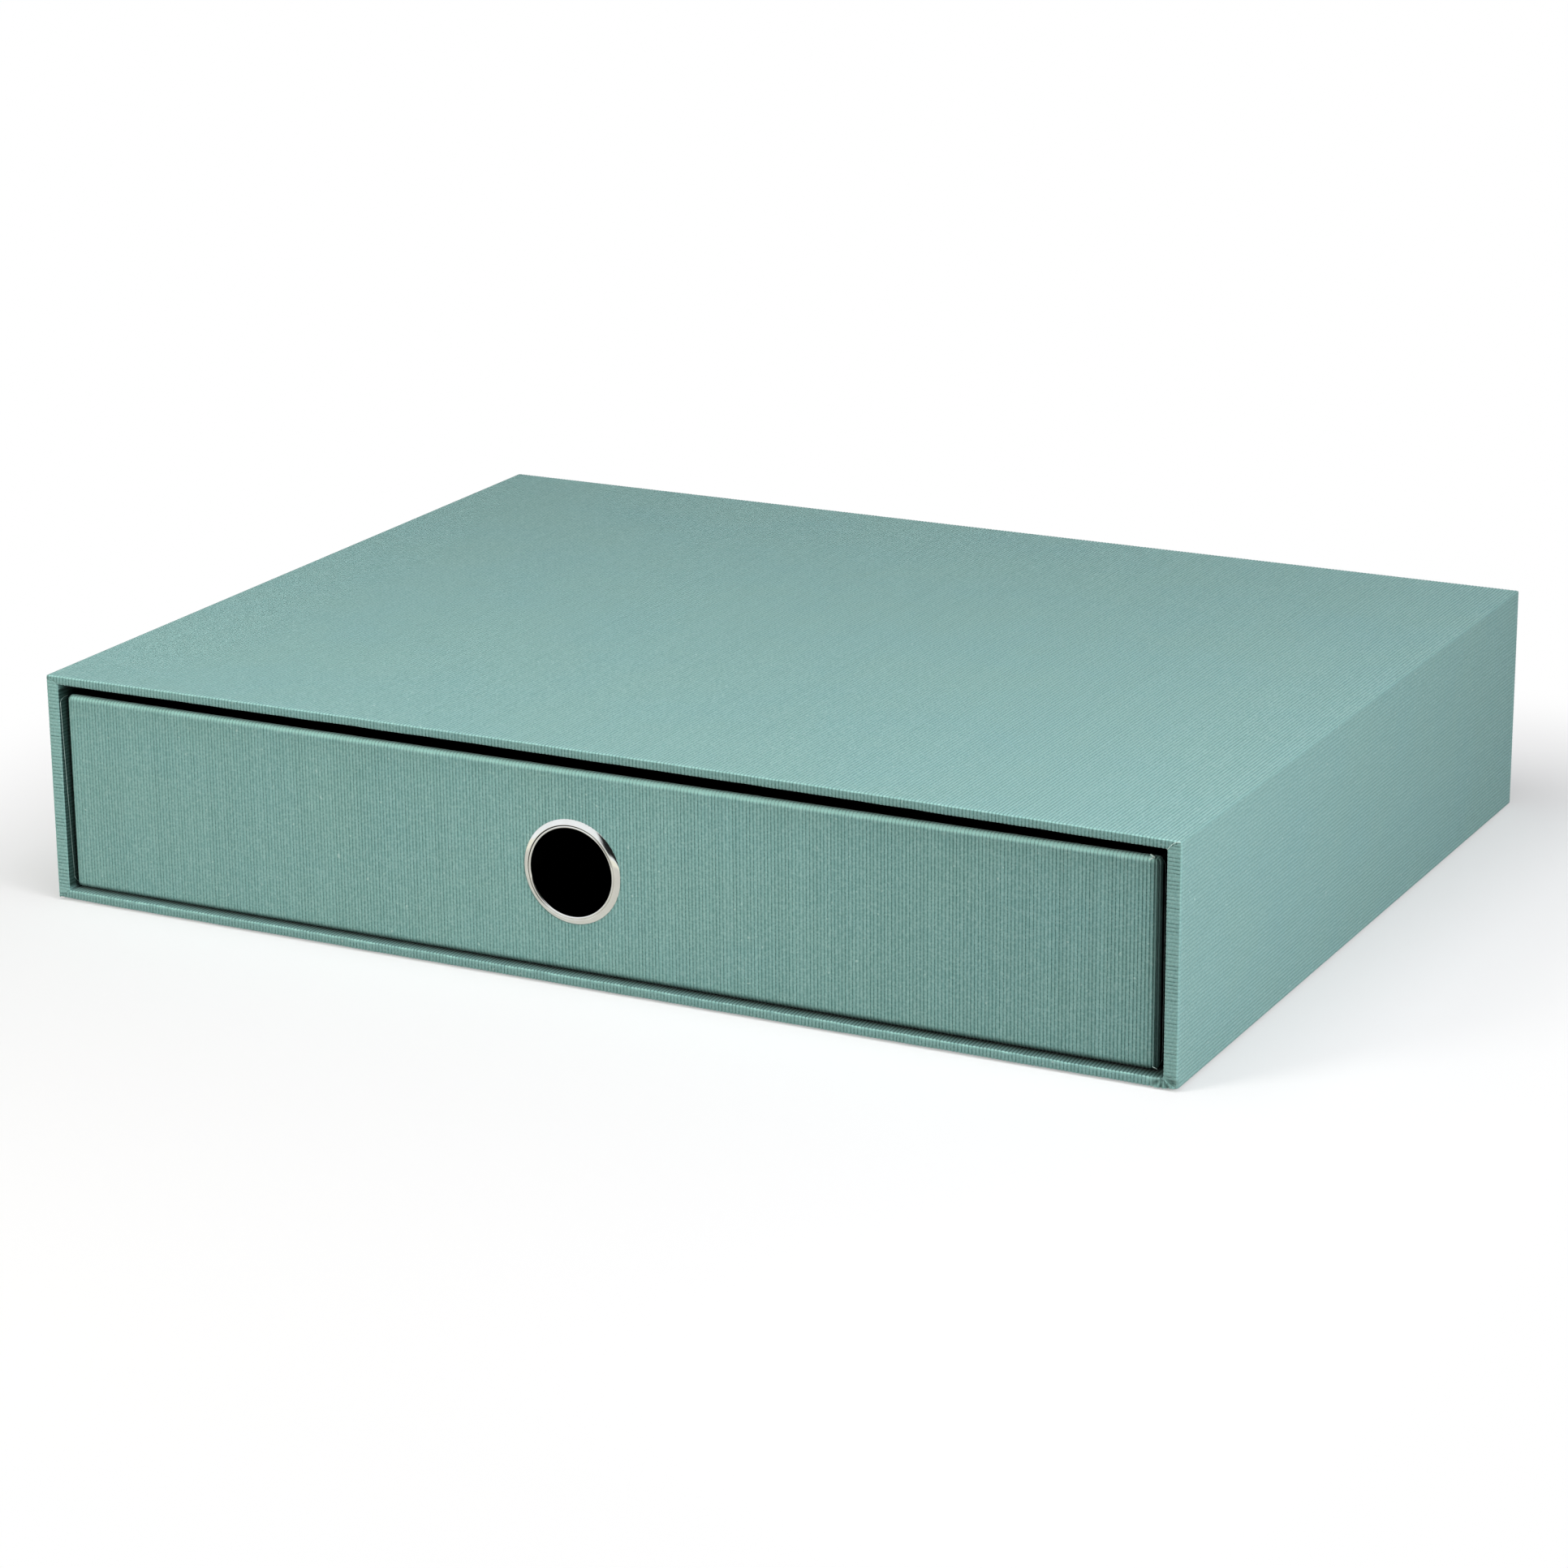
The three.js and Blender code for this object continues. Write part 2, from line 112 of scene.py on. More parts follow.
def new_material(name):
    """An empty node material with one Principled shader: (material, shader)."""
    material = bpy.data.materials.new(name)
    material.use_nodes = True
    return material, material.node_tree.nodes["Principled BSDF"]


def node(material, kind, settings=(), **inputs):
    """A node with its settings made and its inputs set or linked."""
    made = material.node_tree.nodes.new(kind)
    for name, value in dict(settings).items():
        setattr(made, name, value)
    for name, value in inputs.items():
        socket = made.inputs[int(name[1:])] if name[1:].isdigit() else made.inputs[name]
        if isinstance(value, bpy.types.NodeSocket):
            material.node_tree.links.new(value, socket)
        else:
            socket.default_value = value
    return made


def srgb(red, green, blue):
    """A colour as it is seen on screen, from 0 to 255, turned into the linear one of a shader."""
    def linear(value):
        share = value / 255
        return share / 12.92 if share <= 0.04045 else ((share + 0.055) / 1.055) ** 2.4
    return (linear(red), linear(green), linear(blue), 1)


print("a middle grey as a shader's number:", round(srgb(128, 128, 128)[0], 3))

# %% [markdown]
# A few more helpers give noise, stretch a number onto another range, do a sum and mix two colours
# or two shaders. With these, each finish reads like a recipe.

# %% Helpers for noise, sums and mixing


def noise(material, scale, detail):
    """Noise in the piece's own space, as one number around a half."""
    place = node(material, "ShaderNodeTexCoord").outputs["Object"]
    made = node(material, "ShaderNodeTexNoise", Vector=place, Scale=scale, Detail=detail)
    return made.outputs["Fac"]


def spread(material, value, low, high, start=0, end=1, kind="LINEAR"):
    """A number between start and end stretched onto the range from low to high."""
    made = node(material, "ShaderNodeMapRange", {"interpolation_type": kind}, Value=value)
    for name, number in (("From Min", start), ("From Max", end), ("To Min", low), ("To Max", high)):
        made.inputs[name].default_value = number
    return made.outputs["Result"]


def maths(material, operation, *values, kind="ShaderNodeMath"):
    """A sum on numbers, or on vectors where the kind says so."""
    inputs = {f"_{place}": value for place, value in enumerate(values)}
    made = node(material, kind, {"operation": operation}, **inputs)
    return made.outputs["Value"] if operation in ("LENGTH", "DOT_PRODUCT") else made.outputs[0]


def shader_mix(material, share, first, second):
    """Two shaders mixed by a share."""
    return node(material, "ShaderNodeMixShader", _0=share, _1=first, _2=second).outputs[0]


def mixed(material, share, first, second):
    """Two colours mixed by a share."""
    made = node(material, "ShaderNodeMix", {"data_type": "RGBA"})
    sockets = (made.inputs["Factor"], made.inputs[6], made.inputs[7])
    for socket, value in zip(sockets, (share, first, second)):
        if isinstance(value, bpy.types.NodeSocket):
            material.node_tree.links.new(value, socket)
        else:
            socket.default_value = value
    return made.outputs[2]


def finish_with(material, shader, colour, roughness, bump=None, strength=0.2, distance=0.05 * MM):
    """Joins a colour, a roughness and a fine bump to the shader."""
    links = material.node_tree.links
    links.new(colour, shader.inputs["Base Color"])
    links.new(roughness, shader.inputs["Roughness"])
    if bump is not None:
        relief = node(material, "ShaderNodeBump", Strength=strength, Distance=distance, Height=bump)
        links.new(relief.outputs["Normal"], shader.inputs["Normal"])


print("helpers ready for", len(frame["nodes"]), "pieces and the new papers")

# %% [markdown]
# ## Corded paper
#
# The cover paper is dyed through and embossed with one cord per millimetre. The cords are real
# shapes in the mesh, because they catch the light along every edge. The material adds what is too
# fine to model: a cloudy dye and short fibres. It also paints light and shade: a painted shade down
# in the grooves, a painted highlight on the crests of rounded edges, and painted shade where the
# front edges and the turned-in paper lie in shadow. The mesh carries three numbers. One is called
# cord, 1 on a crest and 0 in a groove; it sets the painted shade in the groove. One is called fold,
# 1 on the crest of a rounded edge, where a highlight is painted; the stretched paper is also a
# little paler there. The last is called shade, 1 where the paper gets the most painted shade.

# %% Sage corded paper
SAGE = srgb(143, 187, 182)
# The colour that paints shade down into the grooves
SAGE_GROOVE_SHADE = srgb(60, 105, 98)
# The colour of the painted highlight on the crests of rounded edges
SAGE_HIGHLIGHT = srgb(184, 236, 228)
SAGE_COOL = srgb(134, 184, 188)
# The colour of painted shade, where the paper lies in shadow
SAGE_SHADE = srgb(12, 46, 39)
SAGE_SPECK = srgb(196, 224, 218)
# The noises, by scale and detail: clouds in the dye, short fibres, specks of dust
CLOUDS = (38, 3)
FIBRES = (1900, 4)
DUST = (1000, 0)
# Where the dust's noise passes through this range, there is a speck
DUST_RANGE = (0.83, 0.9)
# The share of each tone, from the noise's lowest value to its highest
COOL_SHARE = (-0.3, 0.5)
RAGGED_GROOVE = (-0.3, 0.3)
HIGHLIGHT_SHARE = 0.8
FIBRE_SHARE = (-0.45, 0.55)
DUST_SHARE = 0.6
SAGE_ROUGHNESS = (0.62, 0.78)
SAGE_TOOTH = 0.35
TOOTH_HEIGHT = 0.06 * MM
SAGE_SHINE = 0.35
SAGE_SHEEN = 0.12
SHEEN_ROUGHNESS = 0.5


def corded_paper():
    material, shader = new_material("corded_paper")
    cord = node(material, "ShaderNodeAttribute", {"attribute_name": "cord"}).outputs["Fac"]
    fold = node(material, "ShaderNodeAttribute", {"attribute_name": "fold"}).outputs["Fac"]
    clouds = noise(material, *CLOUDS)
    fibres = noise(material, *FIBRES)
    dust = spread(material, noise(material, *DUST), 0, DUST_SHARE, *DUST_RANGE)
    shade = node(material, "ShaderNodeAttribute", {"attribute_name": "shade"}).outputs["Fac"]
    crest = mixed(material, spread(material, clouds, *COOL_SHARE), SAGE, SAGE_COOL)
    # Painted shade down in the grooves, broken up by the fibres
    ragged = spread(material, fibres, *RAGGED_GROOVE)
    broken = node(material, "ShaderNodeMath", {"use_clamp": True}, _0=cord, _1=ragged)
    tone = mixed(material, broken.outputs[0], SAGE_GROOVE_SHADE, crest)
    # A painted highlight on the crests of rounded edges, where the stretched paper is also a little
    # paler
    tone = mixed(material, spread(material, fold, 0, HIGHLIGHT_SHARE), tone, SAGE_HIGHLIGHT)
    tone = mixed(material, spread(material, fibres, *FIBRE_SHARE), tone, SAGE_SPECK)
    tone = mixed(material, dust, tone, SAGE_SPECK)
    # Painted shade where the paper lies in shadow
    tone = mixed(material, shade, tone, SAGE_SHADE)
    roughness = spread(material, fibres, *SAGE_ROUGHNESS)
    finish_with(material, shader, tone, roughness, fibres, SAGE_TOOTH, TOOTH_HEIGHT)
    shader.inputs["Specular IOR Level"].default_value = SAGE_SHINE
    shader.inputs["Sheen Weight"].default_value = SAGE_SHEEN
    shader.inputs["Sheen Roughness"].default_value = SHEEN_ROUGHNESS
    return material


sage_paper = corded_paper()
print("finish:", sage_paper.name)

# %% [markdown]
# ## Black paper, grey board and cut edges
#
# The lining is a matt black paper with a faint tooth. The boards under the papers are grey and
# speckled, and they hardly show. Where a knife has cut the cover paper its edge is pale.

# %% Black lining paper, grey board, pale cut edge
PLAIN_FIBRES = (1400, 3)
SPECK_SHARE = 0.5
ROUGHNESS_SPREAD = 0.08
PLAIN_SHINE = 0.3


def plain_paper(name, colour, speck, roughness, tooth):
    """A paper or board: one tone with specks of another, and a fine tooth."""
    material, shader = new_material(name)
    fibres = noise(material, *PLAIN_FIBRES)
    tone = mixed(material, spread(material, fibres, 0, SPECK_SHARE), colour, speck)
    dullest = roughness + ROUGHNESS_SPREAD
    dullness = spread(material, fibres, roughness - ROUGHNESS_SPREAD, dullest)
    finish_with(material, shader, tone, dullness, fibres, tooth)
    shader.inputs["Specular IOR Level"].default_value = PLAIN_SHINE
    return material


black_paper = plain_paper("black_paper", srgb(13, 14, 15), srgb(26, 27, 28), 0.8, 0.3)
grey_board = plain_paper("grey_board", srgb(150, 145, 136), srgb(120, 114, 104), 0.9, 0.4)
cut_edge = plain_paper("cut_edge", srgb(232, 252, 247), srgb(214, 244, 237), 0.8, 0.2)

finishes = {"grey_board": grey_board, "black_paper": black_paper}
finished = []
for subpart in frame["record"]["subparts"]:
    finish = finishes.get(subpart["material_slot"])
    if finish:
        mesh = frame["nodes"][subpart["node"]].data
        mesh.materials.clear()
        mesh.materials.append(finish)
        finished.append(subpart["node"])
print("boards and black papers with their finish:", len(finished))

# %% [markdown]
# ## A line of cords
#
# A corded sheet starts as its own cut edge: a line that rises over each cord and dips into each
# groove. Pulling one vertex along with extrude makes that line. The same line is then drawn through
# space: straight for the flat walls, and spun for the rolled edges, as a plasterer runs a moulding.

# %% A line of cords
CORD_PITCH = 1.0 * MM
CORD_DEPTH = 0.24 * MM
SIDE_CORD_DEPTH = 0.1 * MM
PANEL_CORD_DEPTH = 0.27 * MM
# How far a groove strays sideways, as a share of the pitch, and how much its depth varies
CORD_STRAY = 0.09
CORD_UNEVEN = 0.16
# Across one cord, from a crest to the next: share of the pitch, share of the depth
CORD_SHARES = ((0.34, 0.18), (0.5, 1.0), (0.66, 0.18), (1.0, 0.0))
# How much more painted shade than usual the deepest groove may get
DARKEST = 1.1
# Random values: the steps from cord to cord, sideways and in depth, and the rows apart
STRAY_STEP = 0.83
UNEVEN_STEP = 0.71
UNEVEN_ROW = 7
ROWS_PER_METRE = 1e5


def wander(place, row):
    """A smooth random value between -1 and 1; each row has its own."""
    return smooth_noise.noise(Vector((place, row, 0.5)))


def cord_line(bm, start, along, inward, depth=CORD_DEPTH):
    """A line of cords from start by the vector along; its grooves dip in the direction inward."""
    # The cord number sets the painted shade in a groove; shallower cords get less of it
    darkness = depth / CORD_DEPTH
    row = depth * ROWS_PER_METRE
    cord_layer = bm.verts.layers.float["cord"]
    count = max(1, round(along.length / CORD_PITCH))
    step = along / count
    last = bm.verts.new(start)
    last[cord_layer] = 1
    edges = []
    for cord in range(count):
        aside = CORD_STRAY * wander(cord * STRAY_STEP, row)
        deeper = 1 + CORD_UNEVEN * wander(cord * UNEVEN_STEP, row + UNEVEN_ROW)
        for share, dip in CORD_SHARES:
            made = bmesh.ops.extrude_vert_indiv(bm, verts=[last])
            last = made["verts"][0]
            stray = aside if dip else 0
            last.co = start + step * (cord + share + stray) + inward * (depth * dip * deeper)
            last[cord_layer] = 1 - dip * darkness * min(DARKEST, deeper)
            edges.append(made["edges"][0])
    return edges


# %% [markdown]
# The line is pulled straight with extrude and rolled round an edge with spin. Both hand back the new
# line, so that the next stretch can start from it. A set would give vertices in another order on
# every run, so lists without doubles are kept in order, and each run makes the same mesh.

# %% Drawing the line through space


def once(items):
    """The items in their first order, each of them once."""
    return list(dict.fromkeys(items))


def draw_straight(bm, edges, move, steps=1):
    """Draws the line through space in a straight run; gives the new line."""
    for _ in range(steps):
        made = bmesh.ops.extrude_edge_only(bm, edges=edges)["geom"]
        verts = [item for item in made if isinstance(item, bmesh.types.BMVert)]
        bmesh.ops.translate(bm, verts=verts, vec=move / steps)
        moved = set(verts)
        new_edges = [item for item in made if isinstance(item, bmesh.types.BMEdge)]
        edges = [edge for edge in new_edges if moved.issuperset(edge.verts)]
    return edges


def draw_round(bm, edges, centre, axis, angle, steps):
    """Draws the line round an axis, as paper is rolled round an edge; gives the new line."""
    verts = once(vert for edge in edges for vert in edge.verts)
    made = bmesh.ops.spin(bm, geom=verts + edges, cent=centre, axis=axis, dvec=(0, 0, 0),
                          angle=angle, steps=steps, use_merge=False, use_duplicate=False)
    return [item for item in made["geom_last"] if isinstance(item, bmesh.types.BMEdge)]


def new_sheet():
    """An empty bmesh with the three numbers that the paper's material reads."""
    bm = bmesh.new()
    for name in ("cord", "fold", "shade"):
        bm.verts.layers.float.new(name)
    return bm


trial = new_sheet()
trial_line = cord_line(trial, Vector(), Vector((5 * CORD_PITCH, 0, 0)), Vector((0, 0, -1)))
draw_straight(trial, trial_line, Vector((0, CORD_PITCH, 0)))
print("faces of a trial strip of five cords:", len(trial.faces))
trial.free()

# %% [markdown]
# ## The case's cover paper
#
# Four strips of corded paper wrap the case: over the top, the bottom and the two sides. Where two
# of them meet on a front edge they are cut along a mitre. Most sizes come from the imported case.

# %% Sizes of the case, and the mitre
# A point nearer to a cut than this, in metres, counts as on it
CUT_NEAR = 1e-7
EDGE_ROUND = 0.5 * MM
ROLL_STEPS = 4
BAND_STEPS = 3
# The thickness of the walls, as seen from the front
SIDE_WALL = 3.85 * MM
TOP_WALL = 2.6 * MM
BOTTOM_WALL = 2.8 * MM
# How far the paper is turned in, and how much of that shows in front of the drawer
TURN_IN = 16 * MM
SEEN_TURN_IN = 2.7 * MM
BACK_MARGIN = 14 * MM
PAPER_SOLID = 0.17 * MM
# The long run over the walls has a short piece at each end, so that the shading turns there
RUN_SHARES = (0.004, 0.992, 0.004)

wrap_lo, wrap_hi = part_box("case_wrap")
case_width = wrap_hi.x - wrap_lo.x
case_low = wrap_lo.z
case_top = 65 * MM
case_front = wrap_lo.y
case_back = wrap_hi.y
ACROSS = Vector((1, 0, 0))
FORWARD = Vector((0, -1, 0))
BACKWARD = Vector((0, 1, 0))
DOWN = Vector((0, 0, -1))
UP = Vector((0, 0, 1))


def region(bm, wanted):
    """The faces that pass a test on their middle, with their edges and vertices, for an operator."""
    faces = [face for face in bm.faces if wanted(face.calc_center_median())]
    edges = once(edge for face in faces for edge in face.edges)
    verts = once(vert for face in faces for vert in face.verts)
    return faces + edges + verts


def mitre(bm, wanted, corner, across, outward):
    """Cuts the faces that pass a test along a plane through a corner, as paper is cut for a fold."""
    bmesh.ops.bisect_plane(bm, geom=region(bm, wanted), dist=CUT_NEAR, plane_co=corner,
                           plane_no=across.cross(BACKWARD) * outward, clear_inner=True)


def add_sheet(whole, sheet):
    """Adds a sheet to another one."""
    drawn = bpy.data.meshes.new("sheet")
    sheet.to_mesh(drawn)
    sheet.free()
    whole.from_mesh(drawn)
    bpy.data.meshes.remove(drawn)


print("case in mm:", [round(side / MM, 1) for side in wrap_hi - wrap_lo])

# %% [markdown]
# Each strip starts on the back, rolls over the back edge, runs forward, rolls over the front edge
# and turns into the opening, and the cords run the same way all along. A strip is drawn lying flat
# and then turned into place, so one recipe makes all four.

# %% Draw the four strips of the case


def case_strip(width, wall, wall_left, wall_right, depth):
    """One strip, drawn with its outer face up at height 0 and its cords along Y."""
    bm = new_sheet()
    half = width / 2
    start = Vector((-half, case_back, -EDGE_ROUND - BACK_MARGIN))
    line = cord_line(bm, start, ACROSS * width, FORWARD, depth)
    line = draw_straight(bm, line, UP * BACK_MARGIN)
    line = draw_round(bm, line, (0, case_back - EDGE_ROUND, -EDGE_ROUND), ACROSS, pi / 2, ROLL_STEPS)
    run = case_back - case_front - 2 * EDGE_ROUND
    for share in RUN_SHARES:
        line = draw_straight(bm, line, FORWARD * run * share)
    line = draw_round(bm, line, (0, case_front + EDGE_ROUND, -EDGE_ROUND), ACROSS, pi / 2, ROLL_STEPS)
    line = draw_straight(bm, line, DOWN * (wall - 2 * EDGE_ROUND), BAND_STEPS)
    turn_in_centre = (0, case_front + EDGE_ROUND, EDGE_ROUND - wall)
    line = draw_round(bm, line, turn_in_centre, ACROSS, pi / 2, ROLL_STEPS)
    line = draw_straight(bm, line, BACKWARD * SEEN_TURN_IN)
    line = draw_straight(bm, line, BACKWARD * (TURN_IN - EDGE_ROUND - SEEN_TURN_IN))
    for outward, neighbour in ((-1, wall_left), (1, wall_right)):
        corner = Vector((outward * half, 0, 0))
        slope = Vector((outward * neighbour, 0, wall))
        mitre(bm, lambda m: m.y < case_front + EDGE_ROUND or (m.z < -wall / 2 and m.y < 0),
              corner, slope, outward)
        mitre(bm, lambda m: m.y > case_back - EDGE_ROUND, corner, Vector((outward, 0, 1)), outward)
    return bm


strips = (
    ("top", case_width, TOP_WALL, SIDE_WALL, SIDE_WALL, CORD_DEPTH, 0, (0, 0, case_top)),
    ("bottom", case_width, BOTTOM_WALL, SIDE_WALL, SIDE_WALL, CORD_DEPTH, 180, (0, 0, case_low)),
    ("right", case_top - case_low, SIDE_WALL, TOP_WALL, BOTTOM_WALL, SIDE_CORD_DEPTH, 90,
     (wrap_hi.x, 0, (case_top + case_low) / 2)),
    ("left", case_top - case_low, SIDE_WALL, BOTTOM_WALL, TOP_WALL, SIDE_CORD_DEPTH, -90,
     (wrap_lo.x, 0, (case_top + case_low) / 2)),
)
wrap = new_sheet()
for name, width, wall, wall_left, wall_right, depth, turn, place in strips:
    strip = case_strip(width, wall, wall_left, wall_right, depth)
    into_place = Matrix.Translation(place) @ Matrix.Rotation(radians(turn), 4, "Y")
    bmesh.ops.transform(strip, matrix=into_place, verts=strip.verts[:])
    for face in strip.faces:
        face.material_index = 1 if name == "bottom" else 0
    add_sheet(wrap, strip)
    print("strip", name, "faces so far:", len(wrap.faces))

# %% [markdown]
# ## Pressing the corners round, arching the top, marking the folds
#
# The strips meet in sharp corners. A book binder presses such a corner round with a bone folder.
# In numbers that is a square pushed onto a circle: a point near the corner moves towards the
# middle of its rounding until it lies as far away as the flat faces do. The lid's front edge also
# arches a little, since only the back wall holds it straight.

# %% Helpers for pressing and marking
# Points nearer to each other than this become one
MERGE_NEAR = 0.004 * MM
WAVE_LENGTH = 9 * MM
# The painted highlight on a fold is paler on the cords than between them, and a little uneven along its
# way
HIGHLIGHT_BETWEEN_CORDS = 0.4
HIGHLIGHT_UNEVEN = 0.3
HIGHLIGHT_ROW = 2
# Points nearer than this share of the rounding to its middle stay where they are
MIDDLE_OF_ROUND = 0.2


def between(ends, share):
    """The value at a share of the way between two ends."""
    return ends[0] + (ends[1] - ends[0]) * share


def pressed(value, low, high, reach):
    """The value held back from the rounding at either end of a range, and how far it lies in it."""
    inner = min(max(value, low + reach), high - reach)
    return inner, (value - inner) / reach


def press_along(bm, low, high, reach):
    """Rounds the four edges that run along Y between two corners."""
    for vert in bm.verts:
        inner_x, out_x = pressed(vert.co.x, low.x, high.x, reach)
        inner_z, out_z = pressed(vert.co.z, low.z, high.z, reach)
        far = hypot(out_x, out_z)
        if out_x and out_z and far > MIDDLE_OF_ROUND:
            pull = reach * max(abs(out_x), abs(out_z)) / far
            vert.co.x = inner_x + out_x * pull
            vert.co.z = inner_z + out_z * pull


def mark_highlights(bm, front, low, high, reach, strength):
    """Writes how near each vertex is to the middle of a rounded front edge, where a highlight is
    painted on the crests.
    """
    fold = bm.verts.layers.float["fold"]
    cord = bm.verts.layers.float["cord"]
    for vert in bm.verts:
        ahead = vert.co.y - front
        aside = min(min(vert.co[axis] - low[axis], high[axis] - vert.co[axis]) for axis in (0, 2))
        if ahead < reach and aside < reach:
            middle = max(0, 1 - abs(ahead - aside) / reach)
            on_cord = between((HIGHLIGHT_BETWEEN_CORDS, 1), vert[cord])
            uneven = 1 + HIGHLIGHT_UNEVEN * wander(vert.co.x / WAVE_LENGTH * 2, HIGHLIGHT_ROW)
            vert[fold] = middle * strength * on_cord * uneven


def rank(point):
    """One number for a place, the same in every run and another one for every other place."""
    return point.x + pi * point.y + pi * pi * point.z


def merge(bm):
    """Joins the vertices that lie on each other, in the order of their places."""
    bm.verts.sort(key=lambda vert: rank(vert.co))
    bm.edges.sort(key=lambda edge: rank(edge.verts[0].co + edge.verts[1].co))
    bm.faces.sort(key=lambda face: rank(face.calc_center_median()))
    for items in (bm.verts, bm.edges, bm.faces):
        items.index_update()
    bmesh.ops.remove_doubles(bm, verts=bm.verts[:], dist=MERGE_NEAR)
    bmesh.ops.recalc_face_normals(bm, faces=bm.faces[:])


def ease(value):
    """0 below 0, 1 above 1 and a smooth step between."""
    share = min(1, max(0, value))
    return share * share * (3 - 2 * share)


print("a step eased a quarter of the way:", ease(0.25))

# %% [markdown]
# Shade is painted onto the paper where shade falls: on the front bands, and most of all where the
# paper is turned into the opening. The grooves of the side strips' front bands get more painted
# shade too. So every vertex gets its painted shade from where it lies. Most of these shades grow
# from left to right.

# %% Press, arch and mark the case's paper
TOP_CROWN = 0.8 * MM
# The strength of the painted highlight on the case's front edges
FRONT_HIGHLIGHT = 0.6
# How much of the painted highlight the case's upright front edges keep
UPRIGHT_HIGHLIGHT = 0.5
# How much more painted shade the grooves of the side strips get on their front bands
BAND_GROOVE = 2.2
# Painted shade of the front bands: the sides, the top from left to right, the bottom from its foot up
LEFT_BAND_SHADE = 0.15
RIGHT_BAND_SHADE = 0.27
TOP_BAND_SHADE = (0.24, 0.37)
BOTTOM_BAND_SHADE = (0.32, 0.2)
# Painted shade of the turned-in paper: at its front and at its back, each from left to right
TURNED_FRONT_SHADE = (0.25, 0.55)
TURNED_BACK_SHADE = (0.72, 0.95)
SIDE_TURNED_SHADE = (0.88, 0.95)
# Extra painted shade in the grooves of the turned-in paper
GROOVE_SHADE = 0.35
# A vertex lies on a front band up to this depth, and is turned in past the other two lengths
BAND_DEPTH = 0.1 * MM
TURNED_DEPTH = 0.3 * MM
TURNED_INSIDE = 1.5 * MM
inner_right = wrap_hi.x - SIDE_WALL


def arch(point):
    """The lift of the lid at a point."""
    if point.z < case_top / 2:
        return 0
    side = 1 - (2 * point.x / case_width) ** 2
    ahead = (case_back - point.y) / (case_back - case_front)
    return TOP_CROWN * side * ahead


case_lo = Vector((wrap_lo.x, case_front, case_low))
case_hi = Vector((wrap_hi.x, case_back, case_top))
merge(wrap)
mark_highlights(wrap, case_front, case_lo, case_hi, EDGE_ROUND, FRONT_HIGHLIGHT)
press_along(wrap, case_lo, case_hi, EDGE_ROUND)
shade = wrap.verts.layers.float["shade"]
groove = wrap.verts.layers.float["cord"]
case_highlight = wrap.verts.layers.float["fold"]
for vert in wrap.verts:
    behind = vert.co.y - case_front
    inside_x = wrap_hi.x - abs(vert.co.x)
    inside_z = min(case_top - vert.co.z, vert.co.z - case_low)
    along = 0.5 + vert.co.x / case_width
    if inside_x < EDGE_ROUND:
        vert[case_highlight] *= UPRIGHT_HIGHLIGHT
    if behind < BAND_DEPTH:
        vert[shade] = RIGHT_BAND_SHADE if vert.co.x > inner_right else LEFT_BAND_SHADE
        if vert.co.z < case_low + BOTTOM_WALL:
            upward = (vert.co.z - case_low) / BOTTOM_WALL
            vert[shade] = max(vert[shade], between(BOTTOM_BAND_SHADE, upward))
        if vert.co.z > case_top - TOP_WALL and inside_z < inside_x:
            vert[shade] = between(TOP_BAND_SHADE, along)
        if inside_x < inside_z:
            vert[groove] = 1 - BAND_GROOVE * (1 - vert[groove])
    if min(inside_x, inside_z) > TURNED_INSIDE and behind > TURNED_DEPTH:
        ends = SIDE_TURNED_SHADE
        if inside_z < inside_x:
            ends = (between(TURNED_FRONT_SHADE, along), between(TURNED_BACK_SHADE, along))
        in_groove = GROOVE_SHADE * (1 - vert[groove]) * min(1, behind / EDGE_ROUND)
        vert[shade] = between(ends, ease(behind / (SEEN_TURN_IN + EDGE_ROUND))) + in_groove
print("case paper:", len(wrap.verts), "vertices")

# %% [markdown]
# ## What hands leave in the paper
#
# No two folds of a wrapped box are alike, and its front edges wander by a tenth of a millimetre. A
# slow smooth noise moves them, each line by a row of random values of its own.

# %% Lines that wander
WAVE = 0.2 * MM
# The lines that wander: steady shift, wander, length of the waves, reach, row of the random values
BOTTOM_FOOT = (0.5, 0.5, WAVE_LENGTH, 1.4 * MM, 0)
BOTTOM_CREST = (0, 0.6, WAVE_LENGTH, 1.4 * MM, 3)
BOTTOM_CRINKLE = (0, 0.5, 1.9 * MM, 0.9 * MM, 13)
TOP_EDGE = (-0.3, -0.3, WAVE_LENGTH, 1.2 * MM, 7)
TOP_CREST = (0, 0.6, WAVE_LENGTH, 1.3 * MM, 9)
LEFT_CREST = (0, -0.4, WAVE_LENGTH, 1.5 * MM, 11)


def near(value, reach):
    """1 at 0, falling to 0 at the reach on either side."""
    return max(0, 1 - abs(value) / reach)


def wave(line, place, apart):
    """How far a wandering line has strayed at a place, for a point that lies apart from it."""
    steady, stray, length, reach, row = line
    return WAVE * (steady + stray * wander(place / length, row)) * near(apart, reach)


strays = [wave(BOTTOM_CREST, place * MM, 0) / MM for place in range(0, 300, 3)]
print("the bottom's crest wanders in mm from", round(min(strays), 2), "to", round(max(strays), 2))

# %% [markdown]
# At the bottom right, below the corner of the opening, the spare paper is gathered into a small fan
# of pleats. A sine of the angle round the corner gives its hills and valleys.

# %% The fan of pleats
# The fan's depth, where it starts and ends, and how high and how far back it goes
PLEAT_DEPTH = 0.38 * MM
PLEAT_START = 0.2 * MM
PLEAT_REACH = 5 * MM
PLEAT_HEIGHT = 0.6 * MM
PLEAT_BEHIND = 0.8 * MM
# How closely the folds follow each other, the side that they are counted from, and the first one
PLEAT_FOLDS = 9
PLEAT_SIDE = Vector((1, 0, -0.35))
PLEAT_TURN = 0.8
